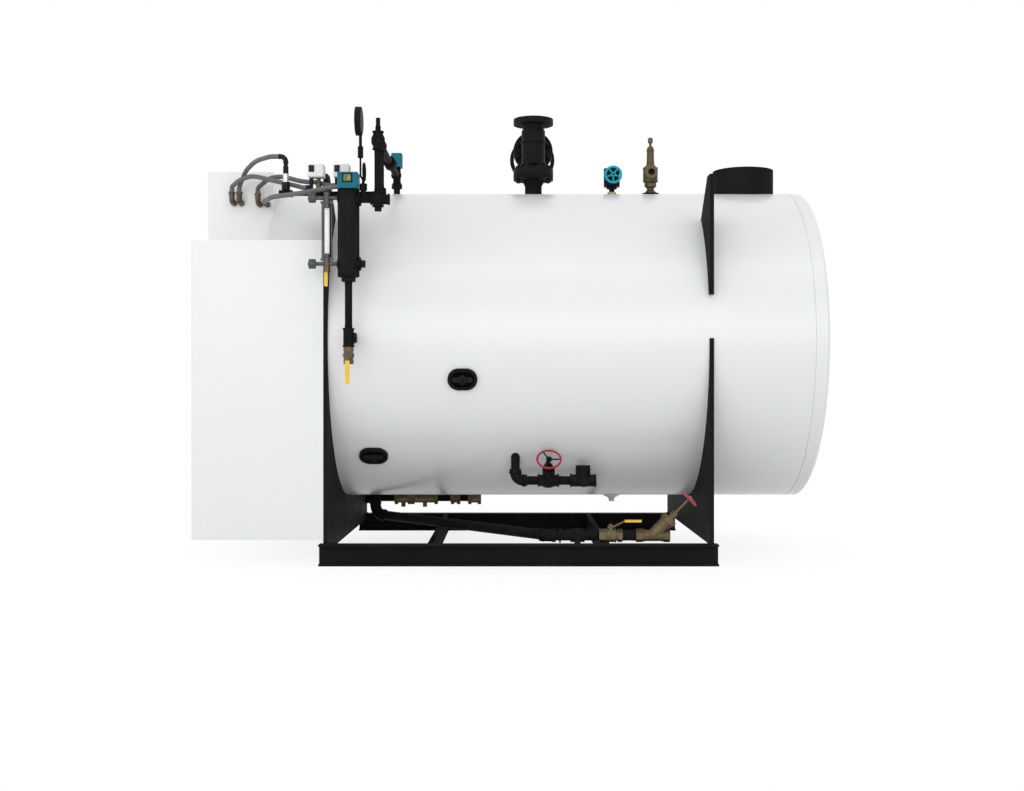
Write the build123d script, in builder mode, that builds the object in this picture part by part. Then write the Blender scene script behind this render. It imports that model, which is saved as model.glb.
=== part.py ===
from build123d import *
from math import cos, radians, sin, sqrt, tan
import os

# Packaged horizontal steam boiler: a jacketed shell on a rail base, with its trim.
# Millimetres, +Z up. X runs from the burner end (-X) to the stack end (+X), the trim side
# faces -Y, and the origin is on the floor under the middle of the base.

# Vessel
shell_radius = 787.5
shell_lift = 172.5
shell_length = 1817.0
shell_wall = 60.0
plate_thickness = 20.0
seat = 0.2
bearing = 0.3
elbow_collar_share = 0.55
elbow_body_share = 0.92

# Base
rail_overhang = 22.5
rail_height = 100.0
rail_inset = 24.0
rail_flange_width = 68.0
rail_flange_thickness = 9.0
rail_web = 6.0
cross_plate_thickness = 25.0
cross_plate_spacing = 830.0
anchor_hole_radius = 9.0
anchor_end_distance = 90.0
anchor_gauge = 19.0

# End plates and lifting lugs
plate_margin = 7.5
front_plate_drop = 33.0
lug_top_drop = 22.5
lug_top_width = 81.0
lug_slant = 42.0
lug_foot_rise = 205.0

# Burner end
drum_length = 291.5
cabinet_length = 614.5
cabinet_bottom_z = 121.0
cabinet_top_rise = 456.0
upper_cabinet_width = 950.0
upper_cabinet_top_rise = 831.0
cabinet_edge_radius = 8.0

# Stack end
smokebox_length = 476.0
smokebox_wall = 40.0
rear_cover_depth = 68.5
rear_cover_edge = 12.0
rear_cover_groove = 3.0
stack_offset = 279.5
stack_radius = 157.5
stack_wall = 5.0
stack_height = 127.5

# Steam outlet
steam_x = 81.6
steam_pipe_radius = 44.45
steam_bore_radius = 38.95
steam_flange_radius = 104.8
steam_flange_thickness = 28.6
steam_hub_radius = 60.0
steam_hub_height = 22.0
steam_nozzle_height = 110.5
steam_valve_height = 292.0
steam_valve_neck_radius = 56.0
steam_valve_belly_radius = 62.0
steam_valve_belly_height = 172.0
steam_bolt_circle = 168.3
steam_bolt_count = 8
steam_bolt_radius = 11.1
bonnet_flange_radius = 105.5
bonnet_flange_thickness = 22.0
bonnet_flange_y = 117.0
bonnet_neck_radius = 58.0
bonnet_gland_radius = 34.0
bonnet_gland_y = 222.0
yoke_y = 318.0
yoke_length = 30.0
yoke_radius = 28.0
yoke_arm_radius = 11.0
steam_stem_radius = 14.0
steam_stem_end_y = 392.0
steam_wheel_radius = 124.0
steam_wheel_grip = 11.0
steam_wheel_y = 362.0

# Vent valve
vent_setback = 412.5
vent_bushing_flats = 40.0
vent_bushing_height = 18.0
vent_pipe_radius = 14.0
vent_body_rise = 48.0
vent_body_height = 95.0
vent_end_flats = 46.0
vent_end_length = 12.0
vent_belly_radius = 42.0
vent_bonnet_radius = 24.0
vent_bonnet_y = 66.0
vent_gland_flats = 30.0
vent_gland_y = 86.0
vent_stem_radius = 6.0
vent_wheel_radius = 46.5
vent_wheel_grip = 6.0
vent_wheel_y = 104.0

# Safety valve
safety_setback = 208.5
safety_bushing_radius = 44.5
safety_bushing_height = 13.0
safety_foot_radius = 30.0
safety_foot_height = 34.5
safety_waist_radius = 18.5
safety_hex_flats = 54.0
safety_hex_height = 16.0
safety_body_radius = 38.5
safety_body_height = 95.0
safety_outlet_radius = 31.5
safety_outlet_bore = 17.5
safety_outlet_depth = 30.0
safety_outlet_reach = 52.0
safety_bonnet_radius = 20.0
safety_bonnet_height = 94.0
safety_neck_radius = 7.0
safety_neck_height = 28.0
safety_cap_radius = 13.0
safety_cap_height = 26.0

# Feedwater line
feed_side_share = 0.6984
feed_drop = 114.4
feed_riser_x = -14.5
feed_pipe_radius = 21.1
feed_fitting_radius = 28.5
feed_bend = 40.0
feed_valve_x = 145.0
feed_valve_length = 104.0
feed_valve_belly = 36.0
feed_bonnet_radius = 25.0
feed_bonnet_length = 84.0
feed_bonnet_tilt = 45.0
feed_gland_flats = 34.0
feed_gland_length = 26.0
feed_stem_radius = 7.0
feed_wheel_radius = 61.0
feed_wheel_grip = 5.0
feed_spoke_angle = -90.0
feed_wheel_reach = 153.0
feed_check_x = 250.0
feed_check_length = 126.0
feed_check_radius = 29.5
feed_check_cap_radius = 35.5
feed_check_cap_reach = 73.0
feed_check_plug_reach = 52.0
feed_inlet_depth = 24.0

# Blowdown line
blow_rise = 40.6
blow_pipe_radius = 24.15
blow_fitting_radius = 31.0
blow_bend = 55.0
blow_tap_setback = 156.5
blow_tap_drop = 105.0
blow_turn_setback = 773.5
blow_clamp_setback = 634.5
blow_collar_length = 20.0
blow_support_thickness = 26.0
blow_support_width = 68.0
blow_ball_setback = 533.5
blow_ball_length = 108.5
blow_ball_radius = 31.0
blow_ball_flats = 54.0
blow_lever_width = 22.0
blow_lever_thickness = 5.0
blow_lever_rise = 26.0
blow_lever_length = 145.0
blow_grip_length = 78.0
blow_grip_thickness = 10.0
blow_lever_stem = 7.0
blow_nut_flats = 18.0
blow_nut_height = 9.0
blow_y_setback = 361.5
blow_y_length = 158.0
blow_y_radius = 31.0
blow_y_tilt = 45.0
blow_y_branch_radius = 30.0
blow_y_branch_length = 116.0
blow_y_gland_flats = 28.0
blow_y_gland_length = 38.0
blow_y_stem_radius = 6.0
blow_wheel_radius = 46.5
blow_wheel_grip = 6.0
blow_wheel_reach = 243.0
blow_outlet_depth = 28.0

# Handholes and drain
handhole_places = ((646.0, -190.0), (208.5, -554.0))
handhole_ring_length = 139.0
handhole_ring_height = 102.0
handhole_length = 110.0
handhole_height = 74.0
handhole_stand = 14.0
handhole_cover_gap = 3.0
handhole_cover_stand = 4.0
yoke_bar_width = 24.0
yoke_bar_stand = 20.0
yoke_nut_flats = 34.0
yoke_nut_stand = 34.0
drain_setback = 414.5
drain_flare_radius = 52.0
drain_neck_radius = 13.0
drain_length = 36.5

# Water column
column_standoff = 142.5
column_setback = 135.5
column_radius = 44.0
column_base_rise = 271.0
column_height = 398.0
column_taper = 21.0
column_neck_radius = 32.0
column_boss_radius = 25.0
column_rib = 5.0
column_boss_stand = 7.0
column_glass_boss = 19.2
column_plug_reach = 32.0
column_pipe_radius = 16.7
column_fitting_radius = 24.0
head_length = 93.0
head_depth = 96.0
head_height = 73.0
head_edge_radius = 9.0
head_window_length = 46.0
head_window_height = 40.0
head_window_stand = 3.0
tee_rise = -3.0
tee_height = 86.0
column_plug_flats = 30.0
tee_union_flats = 60.0
tee_union_length = 34.0
drain_valve_height = 78.0
drain_valve_radius = 22.0
drain_valve_flats = 40.0
drain_stem_radius = 5.0
drain_stem_reach = 42.0
drain_lever_width = 20.0
drain_lever_thickness = 6.0
drain_lever_length = 140.0

# Gauge glass
glass_standoff = 98.0
glass_radius = 10.5
glass_valve_radius = 15.0
glass_valve_height = 52.0
glass_top_rise = 630.0
glass_bottom_rise = 331.0
glass_arm_radius = 9.0
glass_knob_radius = 21.0
glass_knob_near = 52.0
glass_knob_far = 82.0
guard_rod_radius = 3.5
guard_rod_gauge = 21.5
guard_ear_height = 12.0
gauge_drain_length = 44.0
gauge_drain_radius = 11.0
gauge_stem_reach = 30.0
gauge_stem_radius = 4.0
gauge_lever_width = 16.0
gauge_lever_thickness = 5.0
gauge_lever_length = 66.0

# Steam header, riser and level probe
header_rise = 624.0
header_radius = 16.7
header_fitting_radius = 23.0
header_length = 187.0
riser_standoff = 134.0
riser_over_crown = 103.5
riser_tee_height = 86.0
riser_plug_height = 59.0
riser_plug_radius = 12.5
riser_plug_foot = 20.0
header_plug_flats = 28.0
header_plug_drop = 54.0
header_cross_reach = 35.0
drop_tee_half = 34.0
drop_elbow_reach = 26.0
probe_pipe_radius = 16.7
probe_union_flats = 48.0
probe_union_height = 46.0
probe_box_length = 57.0
probe_box_depth = 66.0
probe_box_height = 73.0
probe_box_lift = 82.5

# Pressure gauge
dial_standoff = 47.0
dial_rise = 979.0
dial_radius = 65.0
dial_depth = 28.0
dial_rim = 5.0
dial_recess = 7.0
siphon_standoff = 67.0
siphon_rise = 748.5
siphon_loop_radius = 37.5
siphon_loop_offset = 4.0
siphon_tube_radius = 4.5
siphon_stem_radius = 7.0
siphon_neck_radius = 12.0
siphon_neck_height = 24.0
siphon_fitting_flats = 30.0
siphon_fitting_height = 30.0
gauge_stem_offset = 7.0
cock_flats = 22.0
cock_height = 52.0
cock_drop = 50.0

# Control manifold
manifold_standoff = 42.5
manifold_rise = 665.8
manifold_radius = 10.7
manifold_tee_length = 60.0
manifold_tee_rise = 18.3
manifold_length = 467.0
control_setbacks = (331.0, 213.5)
control_length = 74.0
control_depth = 70.0
control_forward = 7.0
control_height = 60.0
control_rise = 737.0
control_edge_radius = 5.0
control_window_length = 24.5
control_window_height = 30.5
control_window_inset = 7.0
control_window_stand = 2.0
control_leg_radius = 9.0
control_leg_x = 12.0
control_leg_drops = (43.0, 35.0)
control_leg_reach = 24.0
control_port_flats = 22.0
control_port_x = 46.0
control_port_lift = 6.0
control_nut_length = 20.0
control_leg_nut = 14.0
transmitter_setback = 437.0
transmitter_base_flats = 34.0
transmitter_base_height = 33.6
transmitter_body_radius = 13.3
transmitter_body_height = 39.0
transmitter_head_radius = 12.5
transmitter_head_height = 68.5
transmitter_bend = 25.0

# Conduits between the controls and the upper cabinet
conduit_radius = 11.0
conduit_bend_share = 0.45
connector_radius = 13.0
connector_bend = 24.0
connector_standoff = 52.0
connector_drop = 48.0
connector_flats = 28.0
connector_nut = 13.0
connector_setbacks = (130.0, 166.5, 256.5)
connector_depths = (155.0, 155.0, 161.0)
straight_setback = 293.0
straight_depth = 161.0
straight_reach = 62.0
conduit_leads = (14.0, 40.0, 12.0, 20.0)
conduit_rise = 25.0

# Each conduit's route from its control to its connector: the shares of the way along X and Y,
# and the height over the connector's mouth
conduit_routes = (
    ((0.178, 0.125, -10.0), (0.462, 0.446, 28.0), (0.693, 0.594, 57.0), (0.866, 0.753, 46.0)),
    ((0.531, 0.389, 116.0), (0.793, 0.72, 90.0), (0.902, 0.885, 62.0)),
    ((0.163, 0.099, 5.0), (0.372, 0.224, 15.0), (0.631, 0.403, 51.0), (0.812, 0.66, 54.0),
     (0.904, 0.852, 44.0)),
    ((0.25, 0.076, 0.0), (0.515, 0.135, -14.0), (0.769, 0.158, -25.0), (0.944, 0.738, -8.0)),
)

# Gas train on the far side
gas_inset = 50.0
gas_rise = 96.0
gas_pipe_radius = 24.15
gas_valve_setback = 188.5
gas_length = 507.0
gas_body_radius = 36.0
gas_nut_length = 20.0
gas_body_shares = ((0, 0.19), (0.19, 0.5), (0.65, 0.76), (0.85, 1))
gas_stub_shares = (0.1, 0.35)
gas_stub_drop = 56.0
gas_inlet_depth = 26.0

# Places that follow from the sizes above
shell_end = shell_length / 2
shell_axis_z = rail_height + shell_lift + shell_radius
shell_top = shell_axis_z + shell_radius
plate_half_width = shell_radius + plate_margin
rail_length = shell_length + 2 * rail_overhang
rail_y = plate_half_width - rail_inset
rail_inner_y = rail_y - rail_flange_width / 2
drum_front_x = -shell_end - drum_length
cabinet_front_x = -shell_end - cabinet_length
cabinet_top_z = shell_axis_z + cabinet_top_rise
upper_cabinet_top_z = shell_axis_z + upper_cabinet_top_rise
smokebox_end = shell_end + smokebox_length
stack_x = shell_end + stack_offset
steam_joint_z = shell_top + steam_nozzle_height
steam_valve_z = steam_joint_z + steam_valve_height / 2
vent_x = shell_end - vent_setback
safety_x = shell_end - safety_setback
drain_x = shell_end - drain_setback
feed_y = -feed_side_share * shell_radius
feed_z = shell_axis_z - sqrt(shell_radius**2 - feed_y**2) - feed_drop
trim_y = -shell_radius - column_standoff
column_x = column_setback - shell_end
glass_x = column_x - glass_standoff
riser_x = column_x + riser_standoff
header_z = shell_axis_z + header_rise
blow_y = -rail_y
blow_z = rail_height + blow_rise
manifold_y = -shell_radius - manifold_standoff
manifold_z = shell_axis_z + manifold_rise
control_xs = [riser_x - setback for setback in control_setbacks]
transmitter_x = riser_x - transmitter_setback
gas_y = plate_half_width - gas_inset
gas_z = rail_height + gas_rise

UPRIGHT = (Align.CENTER, Align.CENTER, Align.MIN)
UP = (0, 0, 1)
DOWN = (0, 0, -1)
LEFT = (-1, 0, 0)
RIGHT = (1, 0, 0)
NEAR = (0, -1, 0)
FAR = (0, 1, 0)

os.makedirs("parts", exist_ok=True)


def along(start, direction, distance):
    """The point at a distance from a start point."""
    return Vector(start) + Vector(direction).normalized() * distance


def rod(start, end, radius, mode=Mode.ADD):
    """A round bar from one point to another."""
    axis = Vector(end) - Vector(start)
    with Locations(Plane(origin=start, z_dir=axis).location):
        Cylinder(radius, axis.length, align=UPRIGHT, mode=mode)


def hex_bar(start, end, flats):
    """A hexagon bar from one point to another."""
    axis = Vector(end) - Vector(start)
    with BuildSketch(Plane(origin=start, z_dir=axis)) as section:
        RegularPolygon(flats / 2, 6, major_radius=False)
    extrude(section.sketch, amount=axis.length)


def turned(base, axis, outline):
    """A turned piece on an axis, from (radius, distance along the axis) points."""
    direction = Vector(axis).normalized()
    radial = Plane(origin=base, z_dir=direction).x_dir
    half = Plane(origin=base, x_dir=radial, z_dir=radial.cross(direction))
    with BuildSketch(half) as section:
        with BuildLine():
            Polyline((0, outline[0][1]), *outline, (0, outline[-1][1]), close=True)
        make_face()
    revolve(section.sketch, axis=Axis(base, direction))


def pipe_run(points, bend, radius):
    """A round pipe through points, with an arc at each corner."""
    with BuildLine() as path:
        FilletPolyline(*points, radius=bend)
    with BuildSketch(Plane(origin=path.line @ 0, z_dir=path.line % 0)) as section:
        Circle(radius)
    sweep(section.sketch, path=path.line)


def elbow(corner, first, second, bend, radius):
    """A threaded elbow at a corner between two directions, with a collar on each leg."""
    turn = 180 - Vector(first).get_angle(Vector(second))
    reach = bend * tan(radians(turn / 2))
    collar = radius * elbow_collar_share
    start = along(corner, first, reach + collar)
    end = along(corner, second, reach + collar)
    pipe_run([start, corner, end], bend, radius * elbow_body_share)
    rod(start, along(start, first, -collar), radius)
    rod(end, along(end, second, -collar), radius)


def handwheel(centre, axis, radius, grip, spokes, hub_radius, hub_length, spoke_angle=0):
    """A wheel of a round rim, straight spokes and a hub, square to its axis."""
    spoke_length = radius - 1.5 * grip
    with Locations(Plane(origin=centre, z_dir=axis).location):
        Torus(radius - grip, grip)
        Cylinder(hub_radius, hub_length)
        with PolarLocations(0, spokes, start_angle=spoke_angle):
            with Locations(Location((0, 0, 0), (0, 90, 0))):
                Cylinder(grip * 0.7, spoke_length, align=UPRIGHT)


def saddle_cut():
    """Takes the shell's cylinder out of a trim piece, so that it seats on the jacket."""
    with Locations(Location((0, 0, shell_axis_z), (0, 90, 0))):
        Cylinder(shell_radius + seat, 4 * shell_length, mode=Mode.SUBTRACT)


def finish(builder, name):
    """Labels a finished piece and writes it."""
    builder.part.label = name
    export_step(builder.part, f"parts/{name}.step")


# Base rails: I-beams with anchor holes in the inner half of the lower flange
def base_rail(side):
    pocket_width = (rail_flange_width - rail_web) / 2
    pocket_height = rail_height - 2 * rail_flange_thickness
    with BuildSketch(Plane.YZ) as section:
        with Locations((side * rail_y, rail_height / 2)):
            Rectangle(rail_flange_width, rail_height)
            with GridLocations(rail_flange_width - pocket_width, 0, 2, 1):
                Rectangle(pocket_width, pocket_height, mode=Mode.SUBTRACT)
    extrude(section.sketch, amount=rail_length / 2, both=True)
    for end in (-1, 1):
        hole_x = end * (rail_length / 2 - anchor_end_distance)
        foot = (hole_x, side * (rail_y - anchor_gauge), 0)
        rod(foot, along(foot, UP, rail_flange_thickness), anchor_hole_radius, Mode.SUBTRACT)


with BuildPart() as near_base_rail:
    base_rail(-1)
finish(near_base_rail, "near_base_rail")

with BuildPart() as far_base_rail:
    base_rail(1)
finish(far_base_rail, "far_base_rail")

with BuildPart() as cross_plates:
    with Locations((0, 0, rail_height / 2)):
        with GridLocations(cross_plate_spacing, 0, 2, 1):
            Box(cross_plate_thickness, 2 * rail_inner_y, rail_height)
finish(cross_plates, "cross_plates")


# End plates: the jacket passes through them, and their shoulders are the lifting lugs
def lug_outline(bottom_z, bottom_inner_y):
    """Half the outline of a plate, from its inner foot round to the shell's axis."""
    top_z = shell_top - lug_top_drop
    inner_y = plate_half_width - lug_top_width
    slant_end_z = (shell_axis_z + top_z) / 2
    slant_end_y = inner_y - (top_z - slant_end_z) / tan(radians(lug_slant))
    return [
        (bottom_inner_y, bottom_z),
        (plate_half_width, bottom_z),
        (plate_half_width, top_z),
        (inner_y, top_z),
        (slant_end_y, slant_end_z),
    ]


with BuildPart() as front_end_plate:
    with BuildSketch(Plane.YZ.offset(-shell_end)):
        plate_bottom_z = rail_height - front_plate_drop
        foot_y = rail_inner_y - seat
        with BuildLine():
            Polyline(
                (0, plate_bottom_z),
                (foot_y, plate_bottom_z),
                *lug_outline(rail_height, foot_y),
                (0, shell_axis_z),
                close=True,
            )
        make_face()
        mirror(about=Plane.YZ)
        with Locations((0, shell_axis_z)):
            Circle(shell_radius + seat, mode=Mode.SUBTRACT)
    extrude(amount=plate_thickness)
finish(front_end_plate, "front_end_plate")

with BuildPart() as rear_saddle_plate:
    with BuildSketch(Plane.YZ.offset(shell_end - plate_thickness)):
        with Locations((0, (rail_height + shell_axis_z) / 2)):
            Rectangle(2 * plate_half_width, shell_axis_z - rail_height)
        with Locations((0, shell_axis_z)):
            Circle(shell_radius + seat, mode=Mode.SUBTRACT)
    extrude(amount=plate_thickness)
finish(rear_saddle_plate, "rear_saddle_plate")

with BuildPart() as rear_lifting_lugs:
    with BuildSketch(Plane.YZ.offset(shell_end - plate_thickness)):
        lug_foot_z = shell_axis_z + lug_foot_rise
        with BuildLine():
            Polyline(*lug_outline(lug_foot_z, shell_radius / 2), close=True)
        make_face()
        mirror(about=Plane.YZ)
        with Locations((0, shell_axis_z)):
            Circle(shell_radius + seat, mode=Mode.SUBTRACT)
    extrude(amount=plate_thickness)
finish(rear_lifting_lugs, "rear_lifting_lugs")

# Vessel
with BuildPart() as shell_jacket:
    with BuildSketch(Plane.YZ.offset(-shell_end)):
        with Locations((0, shell_axis_z)):
            Circle(shell_radius)
            Circle(shell_radius - shell_wall, mode=Mode.SUBTRACT)
    extrude(amount=shell_length)
finish(shell_jacket, "shell_jacket")

with BuildPart() as front_drum:
    with BuildSketch(Plane.YZ.offset(drum_front_x)):
        with Locations((0, shell_axis_z)):
            Circle(shell_radius)
    extrude(amount=drum_length)
finish(front_drum, "front_drum")

with BuildPart() as rear_tube_sheet:
    with BuildSketch(Plane.YZ.offset(shell_end - plate_thickness)):
        with Locations((0, shell_axis_z)):
            Circle(shell_radius - shell_wall - seat)
    extrude(amount=plate_thickness)
finish(rear_tube_sheet, "rear_tube_sheet")

with BuildPart() as rear_smokebox:
    with BuildSketch(Plane.YZ.offset(shell_end)):
        with Locations((0, shell_axis_z)):
            Circle(shell_radius)
            Circle(shell_radius - smokebox_wall, mode=Mode.SUBTRACT)
    extrude(amount=smokebox_length)
    stack_foot = (stack_x, 0, shell_axis_z)
    rod(stack_foot, along(stack_foot, UP, 2 * shell_radius), stack_radius + seat, Mode.SUBTRACT)
finish(rear_smokebox, "rear_smokebox")

with BuildPart() as rear_cover:
    turned(
        (smokebox_end, 0, shell_axis_z),
        RIGHT,
        [
            (shell_radius - rear_cover_groove, 0),
            (shell_radius - rear_cover_groove, rear_cover_groove),
            (shell_radius, rear_cover_groove),
            (shell_radius, rear_cover_depth - rear_cover_edge),
            (shell_radius - rear_cover_edge, rear_cover_depth),
        ],
    )
finish(rear_cover, "rear_cover")

with BuildPart() as stack_outlet:
    stack_bottom = (stack_x, 0, shell_axis_z + shell_radius / 2)
    stack_top = (stack_x, 0, shell_top + stack_height)
    rod(stack_bottom, stack_top, stack_radius)
    rod(stack_bottom, stack_top, stack_radius - stack_wall, Mode.SUBTRACT)
    smokebox_start = (shell_end, 0, shell_axis_z)
    inside_radius = shell_radius - smokebox_wall
    rod(smokebox_start, along(smokebox_start, RIGHT, smokebox_length), inside_radius, Mode.SUBTRACT)
finish(stack_outlet, "stack_outlet")

# Cabinets over the burner end
with BuildPart() as lower_cabinet:
    with Locations((cabinet_front_x, 0, cabinet_bottom_z)):
        Box(
            cabinet_length,
            2 * plate_half_width,
            cabinet_top_z - cabinet_bottom_z,
            align=(Align.MIN, Align.CENTER, Align.MIN),
        )
    front_corners = lower_cabinet.edges().filter_by(Axis.Z).group_by(Axis.X)[0]
    front_rim = lower_cabinet.faces().sort_by(Axis.X)[0].edges().filter_by(Axis.Y)
    fillet(front_corners + front_rim, radius=cabinet_edge_radius)
    drum_front = (drum_front_x, 0, shell_axis_z)
    rod(drum_front, along(drum_front, RIGHT, 2 * drum_length), shell_radius + seat, Mode.SUBTRACT)
finish(lower_cabinet, "lower_cabinet")

with BuildPart() as upper_cabinet:
    with Locations((cabinet_front_x, 0, cabinet_top_z)):
        Box(
            drum_front_x - cabinet_front_x,
            upper_cabinet_width,
            upper_cabinet_top_z - cabinet_top_z,
            align=(Align.MIN, Align.CENTER, Align.MIN),
        )
    upper_corners = upper_cabinet.edges().filter_by(Axis.Z).group_by(Axis.X)[0]
    upper_rim = upper_cabinet.faces().sort_by(Axis.Z)[-1].edges()
    fillet(upper_corners + upper_rim, radius=cabinet_edge_radius)
finish(upper_cabinet, "upper_cabinet")

# Steam outlet: weld-neck flange, gate valve with its stem level, yoke bonnet and handwheel
with BuildPart() as steam_nozzle:
    nozzle_root = shell_radius / 2
    nozzle_top = nozzle_root + steam_nozzle_height
    flange_back = nozzle_top - steam_flange_thickness
    turned(
        (steam_x, 0, shell_top - nozzle_root),
        UP,
        [
            (steam_pipe_radius, 0),
            (steam_pipe_radius, flange_back - 1.5 * steam_hub_height),
            (steam_hub_radius, flange_back),
            (steam_flange_radius, flange_back),
            (steam_flange_radius, nozzle_top),
        ],
    )
    saddle_cut()
finish(steam_nozzle, "steam_nozzle")

with BuildPart() as steam_valve_body:
    valve_base = (steam_x, 0, steam_joint_z)
    valve_centre = (steam_x, 0, steam_valve_z)
    valve_middle = steam_valve_height / 2
    belly_half = steam_valve_belly_height / 2
    lower_neck = steam_flange_thickness + steam_hub_height
    turned(
        valve_base,
        UP,
        [
            (steam_flange_radius, 0),
            (steam_flange_radius, steam_flange_thickness),
            (steam_hub_radius, steam_flange_thickness),
            (steam_valve_neck_radius, lower_neck),
            (steam_valve_neck_radius, valve_middle - belly_half),
            (steam_valve_belly_radius, valve_middle - belly_half),
            (steam_valve_belly_radius, valve_middle + belly_half),
            (steam_valve_neck_radius, valve_middle + belly_half),
            (steam_valve_neck_radius, steam_valve_height - lower_neck),
            (steam_hub_radius, steam_valve_height - steam_flange_thickness),
            (steam_flange_radius, steam_valve_height - steam_flange_thickness),
            (steam_flange_radius, steam_valve_height),
        ],
    )
    flange_start = along(valve_centre, FAR, bonnet_flange_y - bonnet_flange_thickness)
    rod(valve_centre, flange_start, steam_valve_belly_radius * 0.9)
    rod(flange_start, along(valve_centre, FAR, bonnet_flange_y), bonnet_flange_radius)
    valve_top = along(valve_base, UP, steam_valve_height)
    rod(valve_centre, valve_top, steam_bore_radius, Mode.SUBTRACT)
    with Locations(valve_top):
        with PolarLocations(steam_bolt_circle / 2, steam_bolt_count, start_angle=180 / steam_bolt_count):
            Cylinder(steam_bolt_radius, 2 * steam_flange_thickness, mode=Mode.SUBTRACT)
finish(steam_valve_body, "steam_valve_body")

with BuildPart() as steam_valve_bonnet:
    bonnet_face = along(valve_centre, FAR, bonnet_flange_y)
    bonnet_length = bonnet_gland_y - bonnet_flange_y
    turned(
        bonnet_face,
        FAR,
        [
            (bonnet_flange_radius, 0),
            (bonnet_flange_radius, bonnet_flange_thickness),
            (bonnet_neck_radius, bonnet_flange_thickness),
            (bonnet_gland_radius, bonnet_length * 0.7),
            (bonnet_gland_radius, bonnet_length),
        ],
    )
    yoke_start = along(valve_centre, FAR, yoke_y)
    rod(yoke_start, along(yoke_start, FAR, yoke_length), yoke_radius)
    arm_foot_y = bonnet_flange_y + bonnet_flange_thickness / 2
    for side in (-1, 1):
        arm_foot = Vector(steam_x + side * bonnet_neck_radius * 1.2, arm_foot_y, steam_valve_z)
        arm_knee = Vector(steam_x + side * bonnet_neck_radius, yoke_y - yoke_length, steam_valve_z)
        arm_top = Vector(steam_x + side * yoke_radius * 0.6, yoke_y + yoke_length / 2, steam_valve_z)
        rod(arm_foot, arm_knee, yoke_arm_radius)
        rod(arm_knee, arm_top, yoke_arm_radius)
        with Locations(arm_knee):
            Sphere(yoke_arm_radius)
    stem_socket = along(valve_centre, FAR, bonnet_gland_y - steam_stem_radius)
    stem_clear = along(valve_centre, FAR, yoke_y + 2 * yoke_length)
    rod(stem_socket, stem_clear, steam_stem_radius + bearing, Mode.SUBTRACT)
finish(steam_valve_bonnet, "steam_valve_bonnet")

with BuildPart() as steam_valve_wheel:
    handwheel(
        along(valve_centre, FAR, steam_wheel_y),
        FAR,
        steam_wheel_radius,
        steam_wheel_grip,
        5,
        yoke_radius,
        2 * steam_wheel_grip,
    )
    stem_foot = along(stem_socket, FAR, bearing)
    rod(stem_foot, along(valve_centre, FAR, steam_stem_end_y), steam_stem_radius)
finish(steam_valve_wheel, "steam_valve_wheel")

# Vent valve on the shell's crown
with BuildPart() as vent_valve:
    vent_foot = (vent_x, 0, shell_top - shell_radius / 8)
    vent_collar = (vent_x, 0, shell_top + vent_bushing_height)
    vent_body = (vent_x, 0, shell_top + vent_body_rise)
    vent_centre = along(vent_body, UP, vent_body_height / 2)
    vent_top = along(vent_body, UP, vent_body_height)
    hex_bar(vent_foot, vent_collar, vent_bushing_flats)
    rod(vent_collar, vent_body, vent_pipe_radius)
    hex_bar(along(vent_body, DOWN, vent_end_length), vent_body, vent_end_flats)
    rod(vent_body, vent_top, vent_belly_radius)
    rod(vent_centre, along(vent_centre, NEAR, vent_bonnet_y), vent_bonnet_radius)
    vent_gland = along(vent_centre, NEAR, vent_gland_y)
    hex_bar(along(vent_centre, NEAR, vent_bonnet_y), vent_gland, vent_gland_flats)
    vent_socket = along(vent_centre, NEAR, vent_bonnet_y)
    rod(vent_socket, vent_gland, vent_stem_radius + bearing, Mode.SUBTRACT)
    rod(vent_centre, vent_top, vent_pipe_radius, Mode.SUBTRACT)
    saddle_cut()
finish(vent_valve, "vent_valve")

with BuildPart() as vent_valve_wheel:
    vent_hub = along(vent_centre, NEAR, vent_wheel_y)
    vent_hub_radius = 2 * vent_stem_radius
    vent_hub_length = 2 * vent_wheel_grip
    handwheel(vent_hub, NEAR, vent_wheel_radius, vent_wheel_grip, 5, vent_hub_radius, vent_hub_length)
    rod(along(vent_socket, NEAR, bearing), along(vent_hub, NEAR, vent_hub_length), vent_stem_radius)
finish(vent_valve_wheel, "vent_valve_wheel")

# Safety valve with its outlet to the near side
with BuildPart() as safety_bushing:
    bushing_foot = (safety_x, 0, shell_top - shell_radius / 8)
    bushing_top = (safety_x, 0, shell_top + safety_bushing_height)
    rod(bushing_foot, bushing_top, safety_bushing_radius)
    saddle_cut()
finish(safety_bushing, "safety_bushing")

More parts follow.
